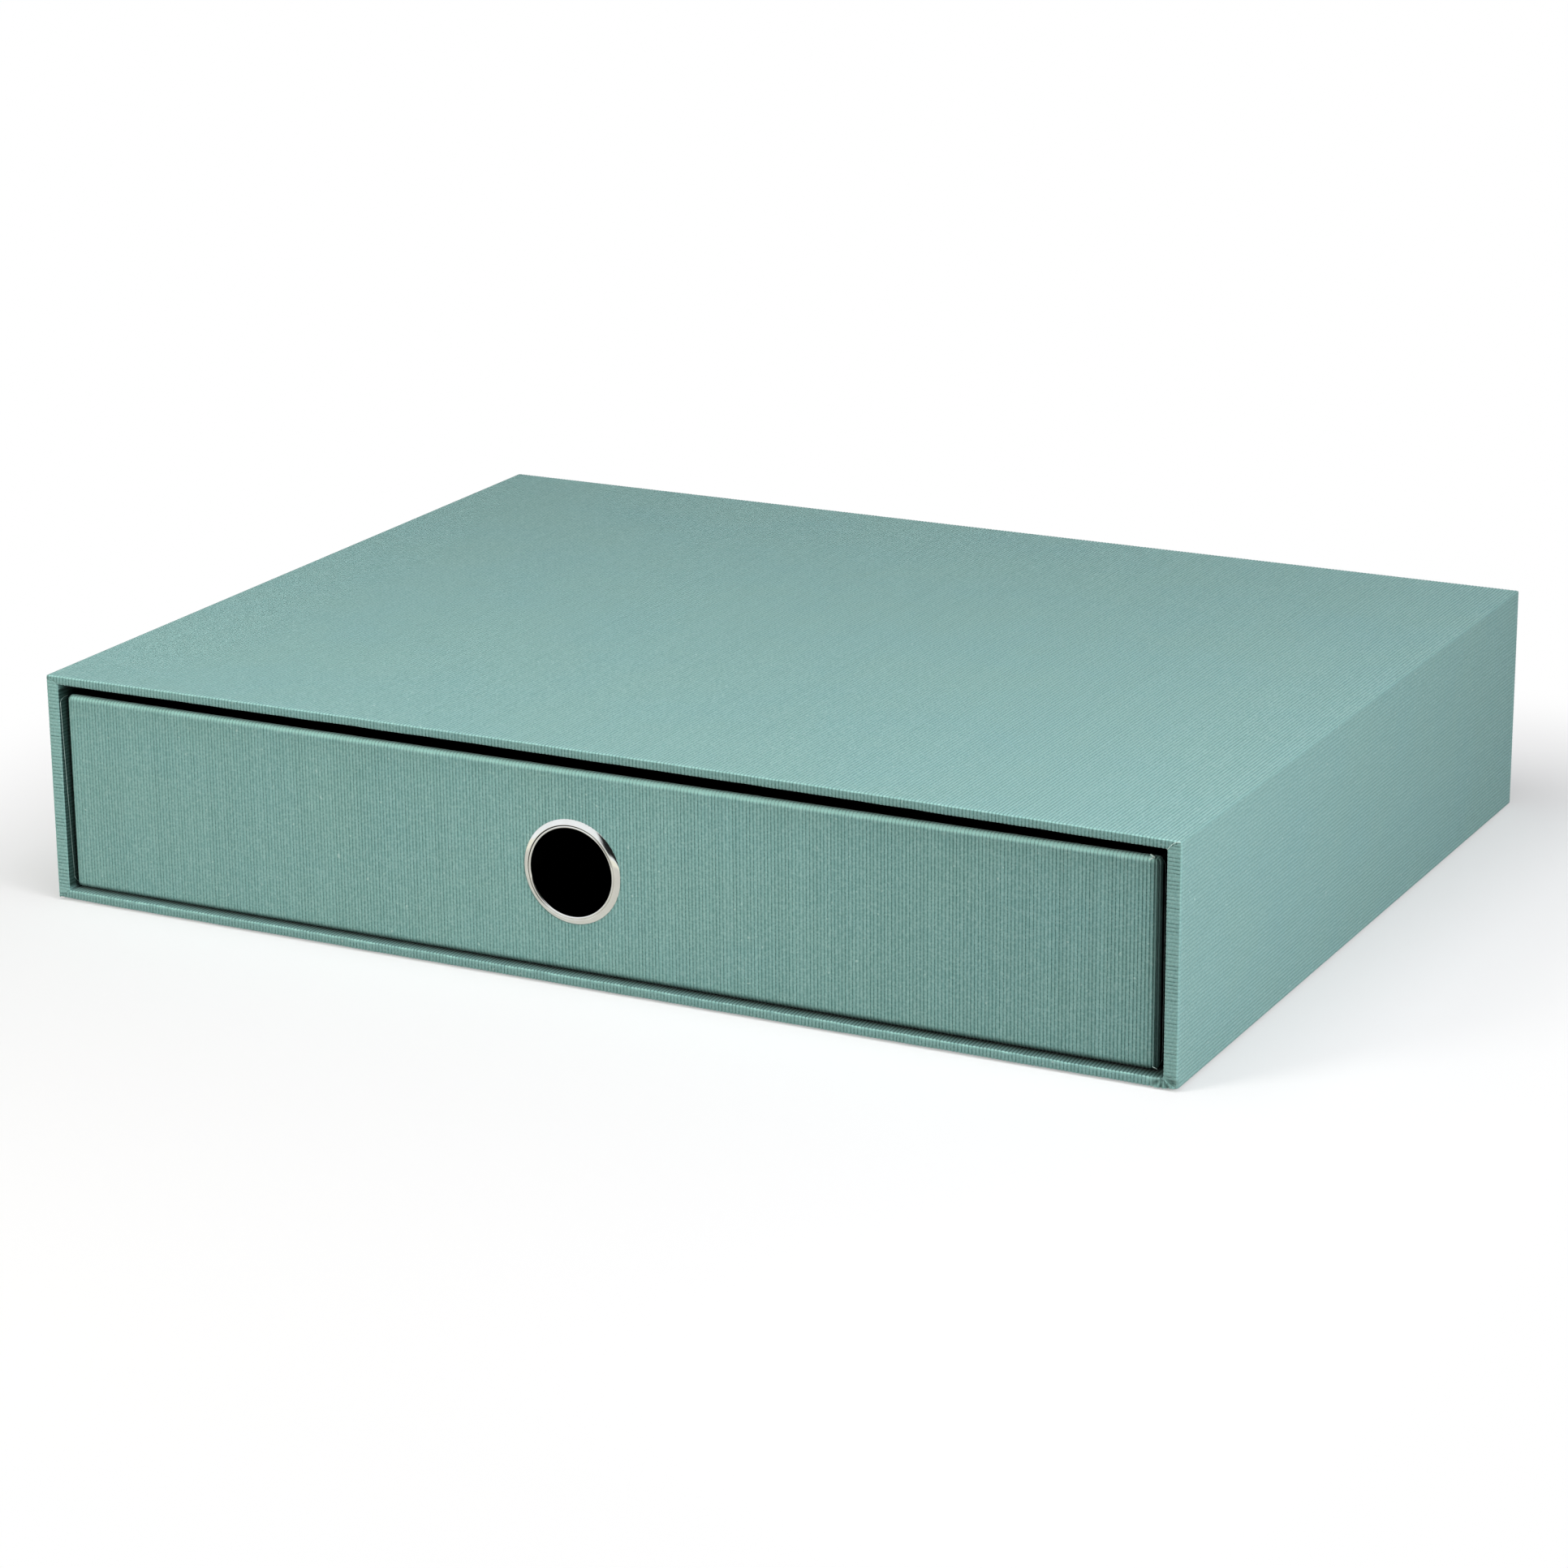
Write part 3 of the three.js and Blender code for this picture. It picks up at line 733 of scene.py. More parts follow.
# Where along its reach the fan is strongest, and how firmly it holds the paper there
PLEAT_MIDDLE = 0.45
PLEAT_HOLD = 1.6
# The painted shade of a hill and of a valley, and the painted highlight on a hill
PLEAT_SHADE = (0.3, 0.85)
PLEAT_HIGHLIGHT = 0.3
inner_low = case_low + BOTTOM_WALL


def pleat(vert):
    """Gathers the paper below the opening's bottom right corner into a fan of folds."""
    point = vert.co
    away = Vector((point.x - inner_right, 0, point.z - inner_low))
    apart = away.length
    if away.z >= PLEAT_HEIGHT or point.y >= case_front + PLEAT_BEHIND:
        return
    if PLEAT_START < apart < PLEAT_REACH:
        valley = 0.5 + 0.5 * sin(PLEAT_FOLDS * away.angle(PLEAT_SIDE) + PLEAT_TURN)
        strength = near(apart - PLEAT_MIDDLE * PLEAT_REACH, (1 - PLEAT_MIDDLE) * PLEAT_REACH)
        point.y += (case_front + PLEAT_DEPTH * valley - point.y) * min(1, PLEAT_HOLD * strength)
        # Painted shade in the valleys and a painted highlight on the hills
        vert[shade] = max(vert[shade], between(PLEAT_SHADE, valley) * strength)
        vert[case_highlight] = max(vert[case_highlight], PLEAT_HIGHLIGHT * (1 - valley) * strength)


print("opening's bottom right corner in mm:", round(inner_right / MM, 1), round(inner_low / MM, 1))

# %% [markdown]
# At the bottom left the side's fold stands a little lower than the bottom's, and the bottom right
# corner is pressed up. A few eased steps do this. A highlight is painted on the paper's crest at the
# bottom of the opening, and shade is painted into two gaps between folds.

# %% Settle the case's front edges
# Behind the front the paper lies as it was drawn, from this depth on
SETTLED_DEPTH = 3 * MM
# The step between the two folds at the bottom left, and the pressed corner at the bottom right
NOTCH_DROP = 0.3 * MM
NOTCH_LIFT = 0.35 * MM
NOTCH_REACH = 14 * MM
STEP_WIDTH = 0.3 * MM
CORNER_LIFT = 0.4 * MM
# The painted highlight on the crest where the paper turns into the opening at the bottom
CREST_DROP = 0.3 * MM
CREST_REACH = 0.4 * MM
CREST_START = 0.05 * MM
CREST_HIGHLIGHT = 0.6
CREST_UNEVEN = 0.65
CREST_LENGTH = 2.3 * MM
CREST_ROW = 5
# Two gaps between folds with painted shade: across, down, radius, shade
SLOT = (0.3 * MM, 0.6 * MM, 1.0 * MM, 0.95)
TOP_LEFT_GAP = (0.6 * MM, 0.8 * MM, 0.8 * MM, 0.9)


def darken_gap(vert, across, down, gap):
    """Paints shade onto a vertex near a gap between folds; across and down say where it lies."""
    gap_across, gap_down, radius, darkness = gap
    apart = hypot(across - gap_across, down - gap_down)
    vert[shade] = max(vert[shade], darkness * near(apart, radius))


def settle(vert):
    """Moves one vertex of the case's front as hands have left it."""
    point = vert.co
    ahead = 1 - ease((point.y - case_front) / SETTLED_DEPTH)
    if ahead <= 0:
        return
    low, top = point.z - case_low, case_top - point.z
    left = point.x - wrap_lo.x
    lift = wave(BOTTOM_FOOT, point.x, low)
    lift += wave(BOTTOM_CREST, point.x, low - BOTTOM_WALL)
    lift += wave(BOTTOM_CRINKLE, point.x, low - BOTTOM_WALL)
    lift += wave(TOP_EDGE, point.x, top)
    lift += wave(TOP_CREST, point.x, top - TOP_WALL)
    point.x += wave(LEFT_CREST, point.z, left - SIDE_WALL)
    below_mitre = (left * BOTTOM_WALL - low * SIDE_WALL) / hypot(BOTTOM_WALL, SIDE_WALL)
    notch = near(low, BOTTOM_WALL) * near(left, NOTCH_REACH)
    lift += notch * NOTCH_LIFT * ease(below_mitre / STEP_WIDTH)
    lift -= notch * NOTCH_DROP * ease(-below_mitre / STEP_WIDTH) * near(left, SIDE_WALL)
    lift += CORNER_LIFT * ease(1 - (wrap_hi.x - point.x) / PLEAT_REACH) * near(low, BOTTOM_WALL)
    point.z = max(point.z + lift * ahead, case_low - NOTCH_DROP)
    pleat(vert)
    behind = point.y - case_front
    if behind < CREST_REACH:
        crest = near(low - BOTTOM_WALL + CREST_DROP, CREST_REACH) * ease(behind / CREST_START)
        crest *= CREST_HIGHLIGHT + CREST_UNEVEN * wander(point.x / CREST_LENGTH, CREST_ROW)
        vert[case_highlight] = max(vert[case_highlight], crest)
    darken_gap(vert, inner_right - point.x, inner_low - point.z, SLOT)
    darken_gap(vert, left, top, TOP_LEFT_GAP)


for vert in wrap.verts:
    settle(vert)
    vert.co.z += arch(vert.co)
heights = [vert.co.z / MM for vert in wrap.verts]
print("case paper settled, from", round(min(heights), 2), "to", round(max(heights), 2), "mm high")

# %% [markdown]
# ## Giving the paper a thickness
#
# A sheet without thickness has no cut edge and looks like foil where it ends. Solidify gives it one
# on the inside, so that its outer face stays where it was drawn.

# %% Make pieces from sheets


def new_piece(name, bm, material, slot, body, *replaced):
    """A piece of the object from a bmesh: shaded smooth, with its material, on its body; the slot is
    not used.
    """
    mesh = bpy.data.meshes.new(name)
    for face in bm.faces:
        face.smooth = True
    bm.to_mesh(mesh)
    bm.free()
    mesh.materials.append(material)
    piece = bpy.data.objects.new(name, mesh)
    bpy.context.scene.collection.objects.link(piece)
    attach(piece, body)
    if replaced:
        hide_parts(*replaced)
    return piece


def thicken(piece, thickness):
    """Gives a sheet its thickness on the inside."""
    solid = piece.modifiers.new("thickness", "SOLIDIFY")
    solid.thickness = thickness
    solid.offset = -1
    solid.use_even_offset = False
    return solid


def faces_out(bm, centre):
    """Turns the faces so that the sheet looks away from a point."""
    lean = 0
    for face in bm.faces:
        lean += (face.calc_center_median() - centre).dot(face.normal) * face.calc_area()
    if lean < 0:
        bmesh.ops.reverse_faces(bm, faces=bm.faces[:])


faces_out(wrap, (case_lo + case_hi) / 2)
under = wrap.copy()
for sheet, unwanted in ((wrap, 1), (under, 0)):
    others = [face for face in sheet.faces if face.material_index == unwanted]
    bmesh.ops.delete(sheet, geom=others, context="FACES")
    for face in sheet.faces:
        face.material_index = 0
case_paper = new_piece("case_cover_paper", wrap, sage_paper, "corded_paper", "case", "case_wrap")
under_paper = new_piece("case_under_paper", under, sage_paper, "corded_paper", "case")
for paper in (case_paper, under_paper):
    thicken(paper, PAPER_SOLID)
    print(paper.name, "faces:", len(paper.data.polygons))

# %% [markdown]
# ## Back sheet and base sheet
#
# A separate sheet covers the turned margins on the back, and another one lies under the box. Both
# are flat and end a little inside the edges.

# %% Flat corded sheets
FLAT_SOLID = 0.14 * MM


def flat_sheet(name, low, across, along, inward, *replaced):
    """A flat corded sheet from a corner, its cords running along."""
    bm = new_sheet()
    line = cord_line(bm, low, across, inward)
    draw_straight(bm, line, along)
    bmesh.ops.recalc_face_normals(bm, faces=bm.faces[:])
    faces_out(bm, low + (across + along) / 2 + inward)
    piece = new_piece(name, bm, sage_paper, "corded_paper", "case", *replaced)
    thicken(piece, FLAT_SOLID)
    return piece


back_lo, back_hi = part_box("case_back_sheet")
back_sheet = flat_sheet("case_back_paper", Vector((back_lo.x, back_hi.y, back_lo.z)),
                        ACROSS * (back_hi.x - back_lo.x), UP * (back_hi.z - back_lo.z),
                        FORWARD, "case_back_sheet")
base_lo, base_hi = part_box("case_base_sheet")
base_paper = flat_sheet("case_base_paper", base_lo, ACROSS * (base_hi.x - base_lo.x),
                        BACKWARD * (base_hi.y - base_lo.y), UP, "case_base_sheet")
for sheet in (back_sheet, base_paper):
    print(sheet.name, "faces:", len(sheet.data.polygons))

# %% [markdown]
# ## The drawer front's cover paper
#
# The drawer's front panel is a board wrapped in the same paper, its cords upright. Its edges are
# rounder in front than behind. They are drawn square first and pressed round later, so every run
# gets extra lines where its ends will be bent.

# %% Helpers for the panel's paper
PANEL_ROUND = 1.5 * MM
PANEL_BACK_ROUND = 0.7 * MM
PANEL_SIDE_WIDTH = 1.5
PANEL_MARGIN = 12.875 * MM
# The margins behind the panel lie within this depth
REAR_DEPTH = 0.2 * MM
# A quarter circle in four even turns: where its rays cross a straight edge, as shares
QUARTER_STOPS = (0.586, 0.414)
# The flat of a run has a short piece at each end: a share of it, but no longer than this
END_SHARE = 0.2
END_PIECE = 0.5 * MM

panel_lo, panel_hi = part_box("panel_cover")
panel_size = panel_hi - panel_lo


def run_with_rounds(bm, line, heading, length, first, last):
    """Draws a straight run with extra lines where its two ends will be pressed round."""
    flat = length - first - last
    rest = min(END_SHARE * flat, END_PIECE)
    steps = [first * share for share in QUARTER_STOPS]
    steps += [rest, flat - 2 * rest, rest]
    steps += [last * share for share in reversed(QUARTER_STOPS)]
    for step in steps:
        line = draw_straight(bm, line, heading * step)
    return line


def panel_round_at(y):
    """The rounding of the panel's outline, wide in front and narrow behind."""
    share = (y - panel_lo.y) / panel_size.y
    return PANEL_ROUND + (PANEL_BACK_ROUND - PANEL_ROUND) * min(1, max(0, share))


def press_panel(point):
    """Pushes a point of the square case onto the rounded panel."""
    y_low = panel_lo.y + PANEL_ROUND
    y_high = panel_hi.y - PANEL_BACK_ROUND
    inner_y = min(max(point.y, y_low), y_high)
    y_reach = PANEL_ROUND if point.y < y_low else PANEL_BACK_ROUND
    out_y = (point.y - inner_y) / y_reach
    reach = panel_round_at(point.y)
    inner_x, out_x = pressed(point.x, panel_lo.x, panel_hi.x, PANEL_SIDE_WIDTH * reach)
    inner_z, out_z = pressed(point.z, panel_lo.z, panel_hi.z, reach)
    out = Vector((out_x, out_y, out_z))
    if out.length > MIDDLE_OF_ROUND:
        out *= max(abs(part) for part in out) / out.length
    return Vector((inner_x + out.x * PANEL_SIDE_WIDTH * reach,
                   inner_y + out.y * y_reach,
                   inner_z + out.z * reach))


def mitre_behind(bm, keep_along_x):
    """Cuts the margins behind the panel along the diagonals of its four corners."""
    centre = (panel_lo + panel_hi) / 2
    for side_x, corner_x in ((-1, panel_lo.x), (1, panel_hi.x)):
        for side_z, corner_z in ((-1, panel_lo.z), (1, panel_hi.z)):
            diagonal = Vector((-side_x, 0, side_z))
            outward = UP * side_z if keep_along_x else ACROSS * side_x
            rear = panel_hi.y - REAR_DEPTH
            behind = region(bm, lambda m: m.y > rear and (m - centre).dot(outward) > 0)
            bmesh.ops.bisect_plane(bm, geom=behind, dist=CUT_NEAR, plane_co=(corner_x, 0, corner_z),
                                   plane_no=diagonal, clear_inner=keep_along_x,
                                   clear_outer=not keep_along_x)


print("panel in mm:", [round(side / MM, 1) for side in panel_size])

# %% [markdown]
# One sheet goes round the panel from behind the bottom edge, over the front, to behind the top
# edge, and two narrow ones close the sides. Behind the panel their margins meet on mitres.

# %% Draw the panel's paper
cover = new_sheet()
start = Vector((panel_lo.x, panel_hi.y, panel_lo.z + PANEL_MARGIN))
line = cord_line(cover, start, ACROSS * panel_size.x, FORWARD, PANEL_CORD_DEPTH)
line = draw_straight(cover, line, DOWN * (PANEL_MARGIN - PANEL_BACK_ROUND))
line = draw_straight(cover, line, DOWN * PANEL_BACK_ROUND)
line = run_with_rounds(cover, line, FORWARD, panel_size.y, PANEL_BACK_ROUND, PANEL_ROUND)
line = run_with_rounds(cover, line, UP, panel_size.z, PANEL_ROUND, PANEL_ROUND)
line = run_with_rounds(cover, line, BACKWARD, panel_size.y, PANEL_ROUND, PANEL_BACK_ROUND)
line = draw_straight(cover, line, DOWN * PANEL_BACK_ROUND)
line = draw_straight(cover, line, DOWN * (PANEL_MARGIN - PANEL_BACK_ROUND))
mitre_behind(cover, True)
print("cords across the panel:", len(line) // len(CORD_SHARES))

for edge_x, inward in ((panel_lo.x, ACROSS), (panel_hi.x, -ACROSS)):
    side = new_sheet()
    line = cord_line(side, Vector((edge_x, panel_lo.y, panel_lo.z)), BACKWARD * panel_size.y, inward)
    run_with_rounds(side, line, UP, panel_size.z, PANEL_ROUND, PANEL_ROUND)
    line = cord_line(side, Vector((edge_x, panel_hi.y, panel_lo.z)), inward * PANEL_MARGIN, FORWARD)
    run_with_rounds(side, line, UP, panel_size.z, PANEL_ROUND, PANEL_ROUND)
    mitre_behind(side, False)
    add_sheet(cover, side)
print("faces of the panel's three sheets:", len(cover.faces))

# %% [markdown]
# ## Cutting the finger hole
#
# The hole is cut with straight strokes, like a coin snipped out of card: each plane touches the
# circle once, and after a full turn of them the middle falls out. The ring's flange hides the cut.

# %% Cut the finger hole
HOLE_CUT = 13.3 * MM
HOLE_STROKES = 28
# The strokes reach this far to each side of the hole's middle, and cut the panel's front only
HOLE_SQUARE = 15 * MM
FRONT_DEPTH = 0.4 * MM
ring_lo, ring_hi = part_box("finger_ring")
ring_centre = (ring_lo + ring_hi) / 2


def in_columns(middle):
    """Whether a point of the panel's front lies above or below the hole's square, or in it."""
    return abs(middle.x - ring_centre.x) < HOLE_SQUARE and middle.y < panel_lo.y + FRONT_DEPTH


def near_hole(middle):
    """Whether a point of the panel's front lies within a square round the hole."""
    return in_columns(middle) and abs(middle.z - ring_centre.z) < HOLE_SQUARE


for level in (-HOLE_SQUARE, HOLE_SQUARE):
    bmesh.ops.bisect_plane(cover, geom=region(cover, in_columns), dist=CUT_NEAR, plane_no=UP,
                           plane_co=ring_centre + UP * level)
strokes = []
for stroke in range(HOLE_STROKES):
    turn = 2 * pi * stroke / HOLE_STROKES
    strokes.append(Vector((cos(turn), 0, sin(turn))))
for stroke in strokes:
    bmesh.ops.bisect_plane(cover, geom=region(cover, near_hole), dist=CUT_NEAR,
                           plane_co=ring_centre + stroke * HOLE_CUT, plane_no=stroke)
middle_faces = []
for face in cover.faces:
    middle = face.calc_center_median()
    if near_hole(middle):
        if max((middle - ring_centre).dot(stroke) for stroke in strokes) < HOLE_CUT:
            middle_faces.append(face)
bmesh.ops.delete(cover, geom=middle_faces, context="FACES")
print("faces cut out for the finger hole:", len(middle_faces))

# %% [markdown]
# A highlight is painted on the panel's edges along their crests, and shade is painted past them,
# where the paper goes behind: most of all along the bottom and on the right. Towards the right its
# grooves get more painted shade, as the light grazes the cords there. Once every vertex has its
# numbers, the edges are pressed round.

# %% Mark the panel's edges and press them round
# The strength of the painted highlight on the panel's crests, and the share of it that the crests below
# the top keep
PANEL_CREST = 2.2
SIDE_CREST = 0.5
# The painted highlight's strength and the grooves' painted shade, from left to right, and more at the
# far right
CREST_STRENGTH = (0.6, 1)
GROOVE_STRENGTH = (0.78, 1.05)
GROOVE_FAR_RIGHT = 0.12
FAR_RIGHT = 0.6
# The top's shade starts this far behind the front and is full as far behind again
TOP_SHADE = 0.25
TOP_FLAT = 0.1 * MM
TOP_START = 0.7 * MM
# The right side's shade is full on the edge, and its reach narrows downwards
SIDE_SHADE = 0.6
SIDE_EDGE = 0.4 * MM
SIDE_REACH = 2.9 * MM
SIDE_NARROWS = 0.6
# The bottom's shade and its reach, from left to right
BOTTOM_SHADE = (0.6, 0.8)
BOTTOM_REACH = (1.8 * MM, 2.25 * MM)
BOTTOM_START = 1.1
# Faint shades over the two ends of the face
LEFT_SHADE = 0.08
LEFT_FADE = 1.6
RIGHT_SHADE = 0.14

merge(cover)
mark_highlights(cover, panel_lo.y, panel_lo, panel_hi, PANEL_ROUND, PANEL_CREST)
panel_highlight = cover.verts.layers.float["fold"]
panel_shade = cover.verts.layers.float["shade"]
panel_cord = cover.verts.layers.float["cord"]
for vert in cover.verts:
    behind = vert.co.y - panel_lo.y
    from_top = panel_hi.z - vert.co.z
    from_bottom = panel_size.z - from_top
    from_right = panel_hi.x - vert.co.x
    rightward = 1 - from_right / panel_size.x
    far_right = max(0, (rightward - FAR_RIGHT) / (1 - FAR_RIGHT))
    darkness = between(GROOVE_STRENGTH, rightward) + GROOVE_FAR_RIGHT * far_right
    vert[panel_cord] = 1 - darkness * (1 - vert[panel_cord])
    if from_top > PANEL_ROUND:
        vert[panel_highlight] *= SIDE_CREST
    vert[panel_highlight] *= between(CREST_STRENGTH, ease(2 * rightward))
    side_reach = SIDE_REACH * (1 - SIDE_NARROWS * from_top / panel_size.z)
    shades = [SIDE_SHADE * ease(1 - (from_right - SIDE_EDGE) / side_reach)]
    if from_top < TOP_FLAT:
        shades.append(TOP_SHADE * ease((behind - TOP_START) / TOP_START))
    bottom_reach = between(BOTTOM_REACH, rightward)
    if from_bottom < bottom_reach:
        vert[panel_highlight] = 0
        fading = ease(BOTTOM_START - from_bottom / bottom_reach)
        shades.append(between(BOTTOM_SHADE, rightward) * fading)
    end_shade = LEFT_SHADE * (1 - ease(LEFT_FADE * rightward)) + RIGHT_SHADE * far_right
    shades.append(end_shade * max(0, 1 - vert[panel_highlight]))
    vert[panel_shade] = max(shades)
    vert.co = press_panel(vert.co)
faces_out(cover, (panel_lo + panel_hi) / 2)
panel_paper = new_piece("panel_cover_paper", cover, sage_paper, "corded_paper", "drawer", "panel_cover")
thicken(panel_paper, PAPER_SOLID)
print("panel paper faces:", len(panel_paper.data.polygons))

# %% [markdown]
# ## Cut edges of the paper
#
# Where a knife has cut the paper its edge is pale, and a few of these edges show as thin light
# lines: at the folded ear on the drawer's top right corner, along the mitre above it, where the
# black lining starts inside the case, and behind the drawer front. Each line is a row of slivers,
# and a sliver is a cube stretched between two points.

# %% Slivers of cut paper
# How much longer a sliver is than its path, in thicknesses, to close the bends
OVERLAP = 0.4
# How far a sliver lies behind the front, or off the side wall, in mm
BEHIND_FRONT = 0.07
OFF_WALL = 0.05


def slivers(name, paths, body):
    """Thin strips along paths of points in mm; each path comes with its thickness in mm."""
    bm = bmesh.new()
    for thickness, points in paths:
        for first, last in zip(points, points[1:]):
            first, last = Vector(first) * MM, Vector(last) * MM
            along = last - first
            side = thickness * MM
            place = Matrix.Translation((first + last) / 2)
            turn = along.to_track_quat("X", "Z").to_matrix().to_4x4()
            size = Matrix.Diagonal((along.length + OVERLAP * side, side, side, 1))
            bmesh.ops.create_cube(bm, size=1, matrix=place @ turn @ size)
    return new_piece(name, bm, cut_edge, "corded_paper", body)


front_y = case_front / MM + BEHIND_FRONT
wall_x = -inner_right / MM + OFF_WALL
case_edges = slivers("case_cut_edges", (
    (0.12, ((163.7, front_y, 62.45), (164.9, front_y, 63.9), (165.9, front_y, 64.6),
            (167.1, front_y, 64.85))),
    (0.06, ((wall_x, -124.1, 4.5), (wall_x, -125.0, 5.2), (wall_x, -125.9, 6.5), (wall_x, -127.8, 57.3),
            (wall_x, -127.5, 57.9), (wall_x, -126.8, 58.3), (wall_x, -125.9, 58.5),
            (wall_x, -124.2, 58.5))),
), "case")
drawer_edges = slivers("drawer_cut_edges", (
    (0.32, ((157.9, -125.42, 58.25), (159.1, -124.95, 58.75), (157.6, -123.9, 58.95))),
    (0.16, ((159.6, -125.38, 4.5), (160.7, -124.95, 3.85))),
    (0.06, ((160.5, -122.4, 4.2), (160.95, -122.4, 5.5), (160.95, -122.4, 54.6), (160.85, -122.4, 56.4),
            (160.4, -122.4, 57.5), (159.4, -122.4, 58.4))),
), "drawer")
for edges in (case_edges, drawer_edges):
    print(edges.name, "slivers:", len(edges.data.polygons) // 6)

# %% [markdown]
# ## The finger ring
#
# The ring is one piece of thin sheet metal, pressed and then rolled over a washer inside the
# drawer. Its section is a line: the outer rim, a convex band, a narrow groove, a rolled lip, the
# bore, and the curl behind. Spinning that line once round the bore's axis gives the ring. Shade
# is painted into the groove, darkest at the upper left, so the line carries a number for it.

# %% Spin the ring
RING_STEPS = 48
# The groove's radii in mm, and how far to the left its painted shade leans
GROOVE_RADII = (12.75, 12.95)
GROOVE_HEIGHT = 0.6
GROOVE_LEAN = 0.6
# Radius and height over the panel's front, in mm, from the rim inwards and through to the back
RING_SECTION = (
    (14.58, 0.02), (14.46, 0.22), (14.2, 0.4), (13.8, 0.59), (13.4, 0.76), (13.1, 0.88), (12.96, 0.86),
    (12.9, 0.5), (12.8, 0.5), (12.7, 0.86), (12.4, 0.92), (12.12, 0.7),
    (12.06, 0.2), (12.06, -2.6), (12.06, -5.2), (12.12, -5.9), (12.5, -6.4), (13.1, -6.42),
    (13.6, -6.12), (13.72, -5.72),
)

ring = bmesh.new()
ring_groove_shade = ring.verts.layers.float.new("ring_groove_shade")
last = None
line = []
for radius, height in RING_SECTION:
    place = ring_centre + Vector((radius * MM, 0, 0))
    place.y = panel_lo.y - height * MM
    if last is None:
        last = ring.verts.new(place)
        continue
    made = bmesh.ops.extrude_vert_indiv(ring, verts=[last])
    last = made["verts"][0]
    last.co = place
    in_groove = GROOVE_RADII[0] < radius < GROOVE_RADII[1] and height < GROOVE_HEIGHT
    last[ring_groove_shade] = 1 if in_groove else 0
    line.append(made["edges"][0])
section = once(vert for edge in line for vert in edge.verts) + line
bmesh.ops.spin(ring, geom=section, cent=ring_centre, axis=(0, 1, 0), dvec=(0, 0, 0), angle=2 * pi,
               steps=RING_STEPS, use_merge=True, use_duplicate=False)
# The painted shade in the groove is strongest at the upper left and gone at the lower right
for vert in ring.verts:
    away = vert.co - ring_centre
    vert[ring_groove_shade] *= max(0, (away.z - GROOVE_LEAN * away.x) / hypot(away.x, away.z))
bmesh.ops.recalc_face_normals(ring, faces=ring.faces[:])
front_face = min(ring.faces, key=lambda face: face.calc_center_median().y)
if front_face.normal.y > 0:
    bmesh.ops.reverse_faces(ring, faces=ring.faces[:])
print("ring faces before rounding:", len(ring.faces))

# %% [markdown]
# The metal is plated with bright nickel. Solidify gives the ring the metal's thickness, Subdivision
# rounds it, and the washer that it is rolled over gets the same finish.

# %% Plate the ring and its washer
RING_METAL = 0.3 * MM
HAZE = (260, 3)
NICKEL_ROUGHNESS = (0.06, 0.12)
RING_SMOOTHING = 2


def nickel_plate():
    """Bright plated metal with a faint brushed haze."""
    material, shader = new_material("nickel")
    haze = noise(material, *HAZE)
    tone = mixed(material, haze, srgb(247, 247, 245), srgb(232, 231, 226))
    # Shade painted into the ring's groove
    dark = node(material, "ShaderNodeAttribute", {"attribute_name": "ring_groove_shade"}).outputs["Fac"]
    tone = mixed(material, spread(material, dark, 0, 1), tone, srgb(40, 44, 42))
    finish_with(material, shader, tone, spread(material, haze, *NICKEL_ROUGHNESS))
    shader.inputs["Metallic"].default_value = 1.0
    return material


nickel = nickel_plate()
ring_piece = new_piece("finger_ring_metal", ring, nickel, "nickel", "drawer", "finger_ring")
thicken(ring_piece, RING_METAL)
round_off = ring_piece.modifiers.new("round", "SUBSURF")
round_off.levels = RING_SMOOTHING
round_off.render_levels = RING_SMOOTHING
washer = frame["nodes"]["finger_ring_washer"]
washer.data.materials.clear()
washer.data.materials.append(nickel)
print("plated:", ring_piece.name, "and", washer.name)

# %% [markdown]
# ## Floor, studio light and the white behind
#
# The box stands on a plain white floor. It is a wide frame: a small square, pulled out on all sides
# and then taken away, leaves an opening under the box, so that the underside can be looked at.

# %% The floor
FLOOR_SIZE = 12
FLOOR_MARGIN = 5 * MM
FLOOR_BELOW = 0.1 * MM

half_box = Vector((case_width / 2, (case_back - case_front) / 2, 0))
opening = half_box - Vector((FLOOR_MARGIN, FLOOR_MARGIN, 0))
floor_bm = bmesh.new()
bmesh.ops.create_grid(floor_bm, x_segments=1, y_segments=1, size=1)
bmesh.ops.scale(floor_bm, verts=floor_bm.verts[:], vec=opening)
footprint = floor_bm.faces[:]
made = bmesh.ops.extrude_edge_only(floor_bm, edges=floor_bm.edges[:])["geom"]
outline = [item for item in made if isinstance(item, bmesh.types.BMVert)]
bmesh.ops.scale(floor_bm, verts=outline, vec=Vector((FLOOR_SIZE, FLOOR_SIZE, 1)))
bmesh.ops.delete(floor_bm, geom=footprint, context="FACES")
bmesh.ops.recalc_face_normals(floor_bm, faces=floor_bm.faces[:])
if floor_bm.faces[0].normal.z < 0:
    bmesh.ops.reverse_faces(floor_bm, faces=floor_bm.faces[:])
floor_mesh = bpy.data.meshes.new("floor")
floor_bm.to_mesh(floor_mesh)
floor_bm.free()
floor = bpy.data.objects.new("floor", floor_mesh)
floor.location.z = -FLOOR_BELOW
bpy.context.scene.collection.objects.link(floor)
print("floor faces:", len(floor_mesh.polygons))

# %% [markdown]
# The floor keeps the shadow of the box, and of the open drawer, and fades into the white behind
# round them. The camera sees it whiter than it is, since a truly white floor would light the front
# from below. From below it isn't there at all.

# %% The floor's finish
FLOOR_SEEN = (0.88, 0.88, 0.88, 1)
FLOOR_BOUNCE = (0.45, 0.45, 0.45, 1)
FLOOR_MIRRORED = (0.93, 0.92, 0.8, 1)
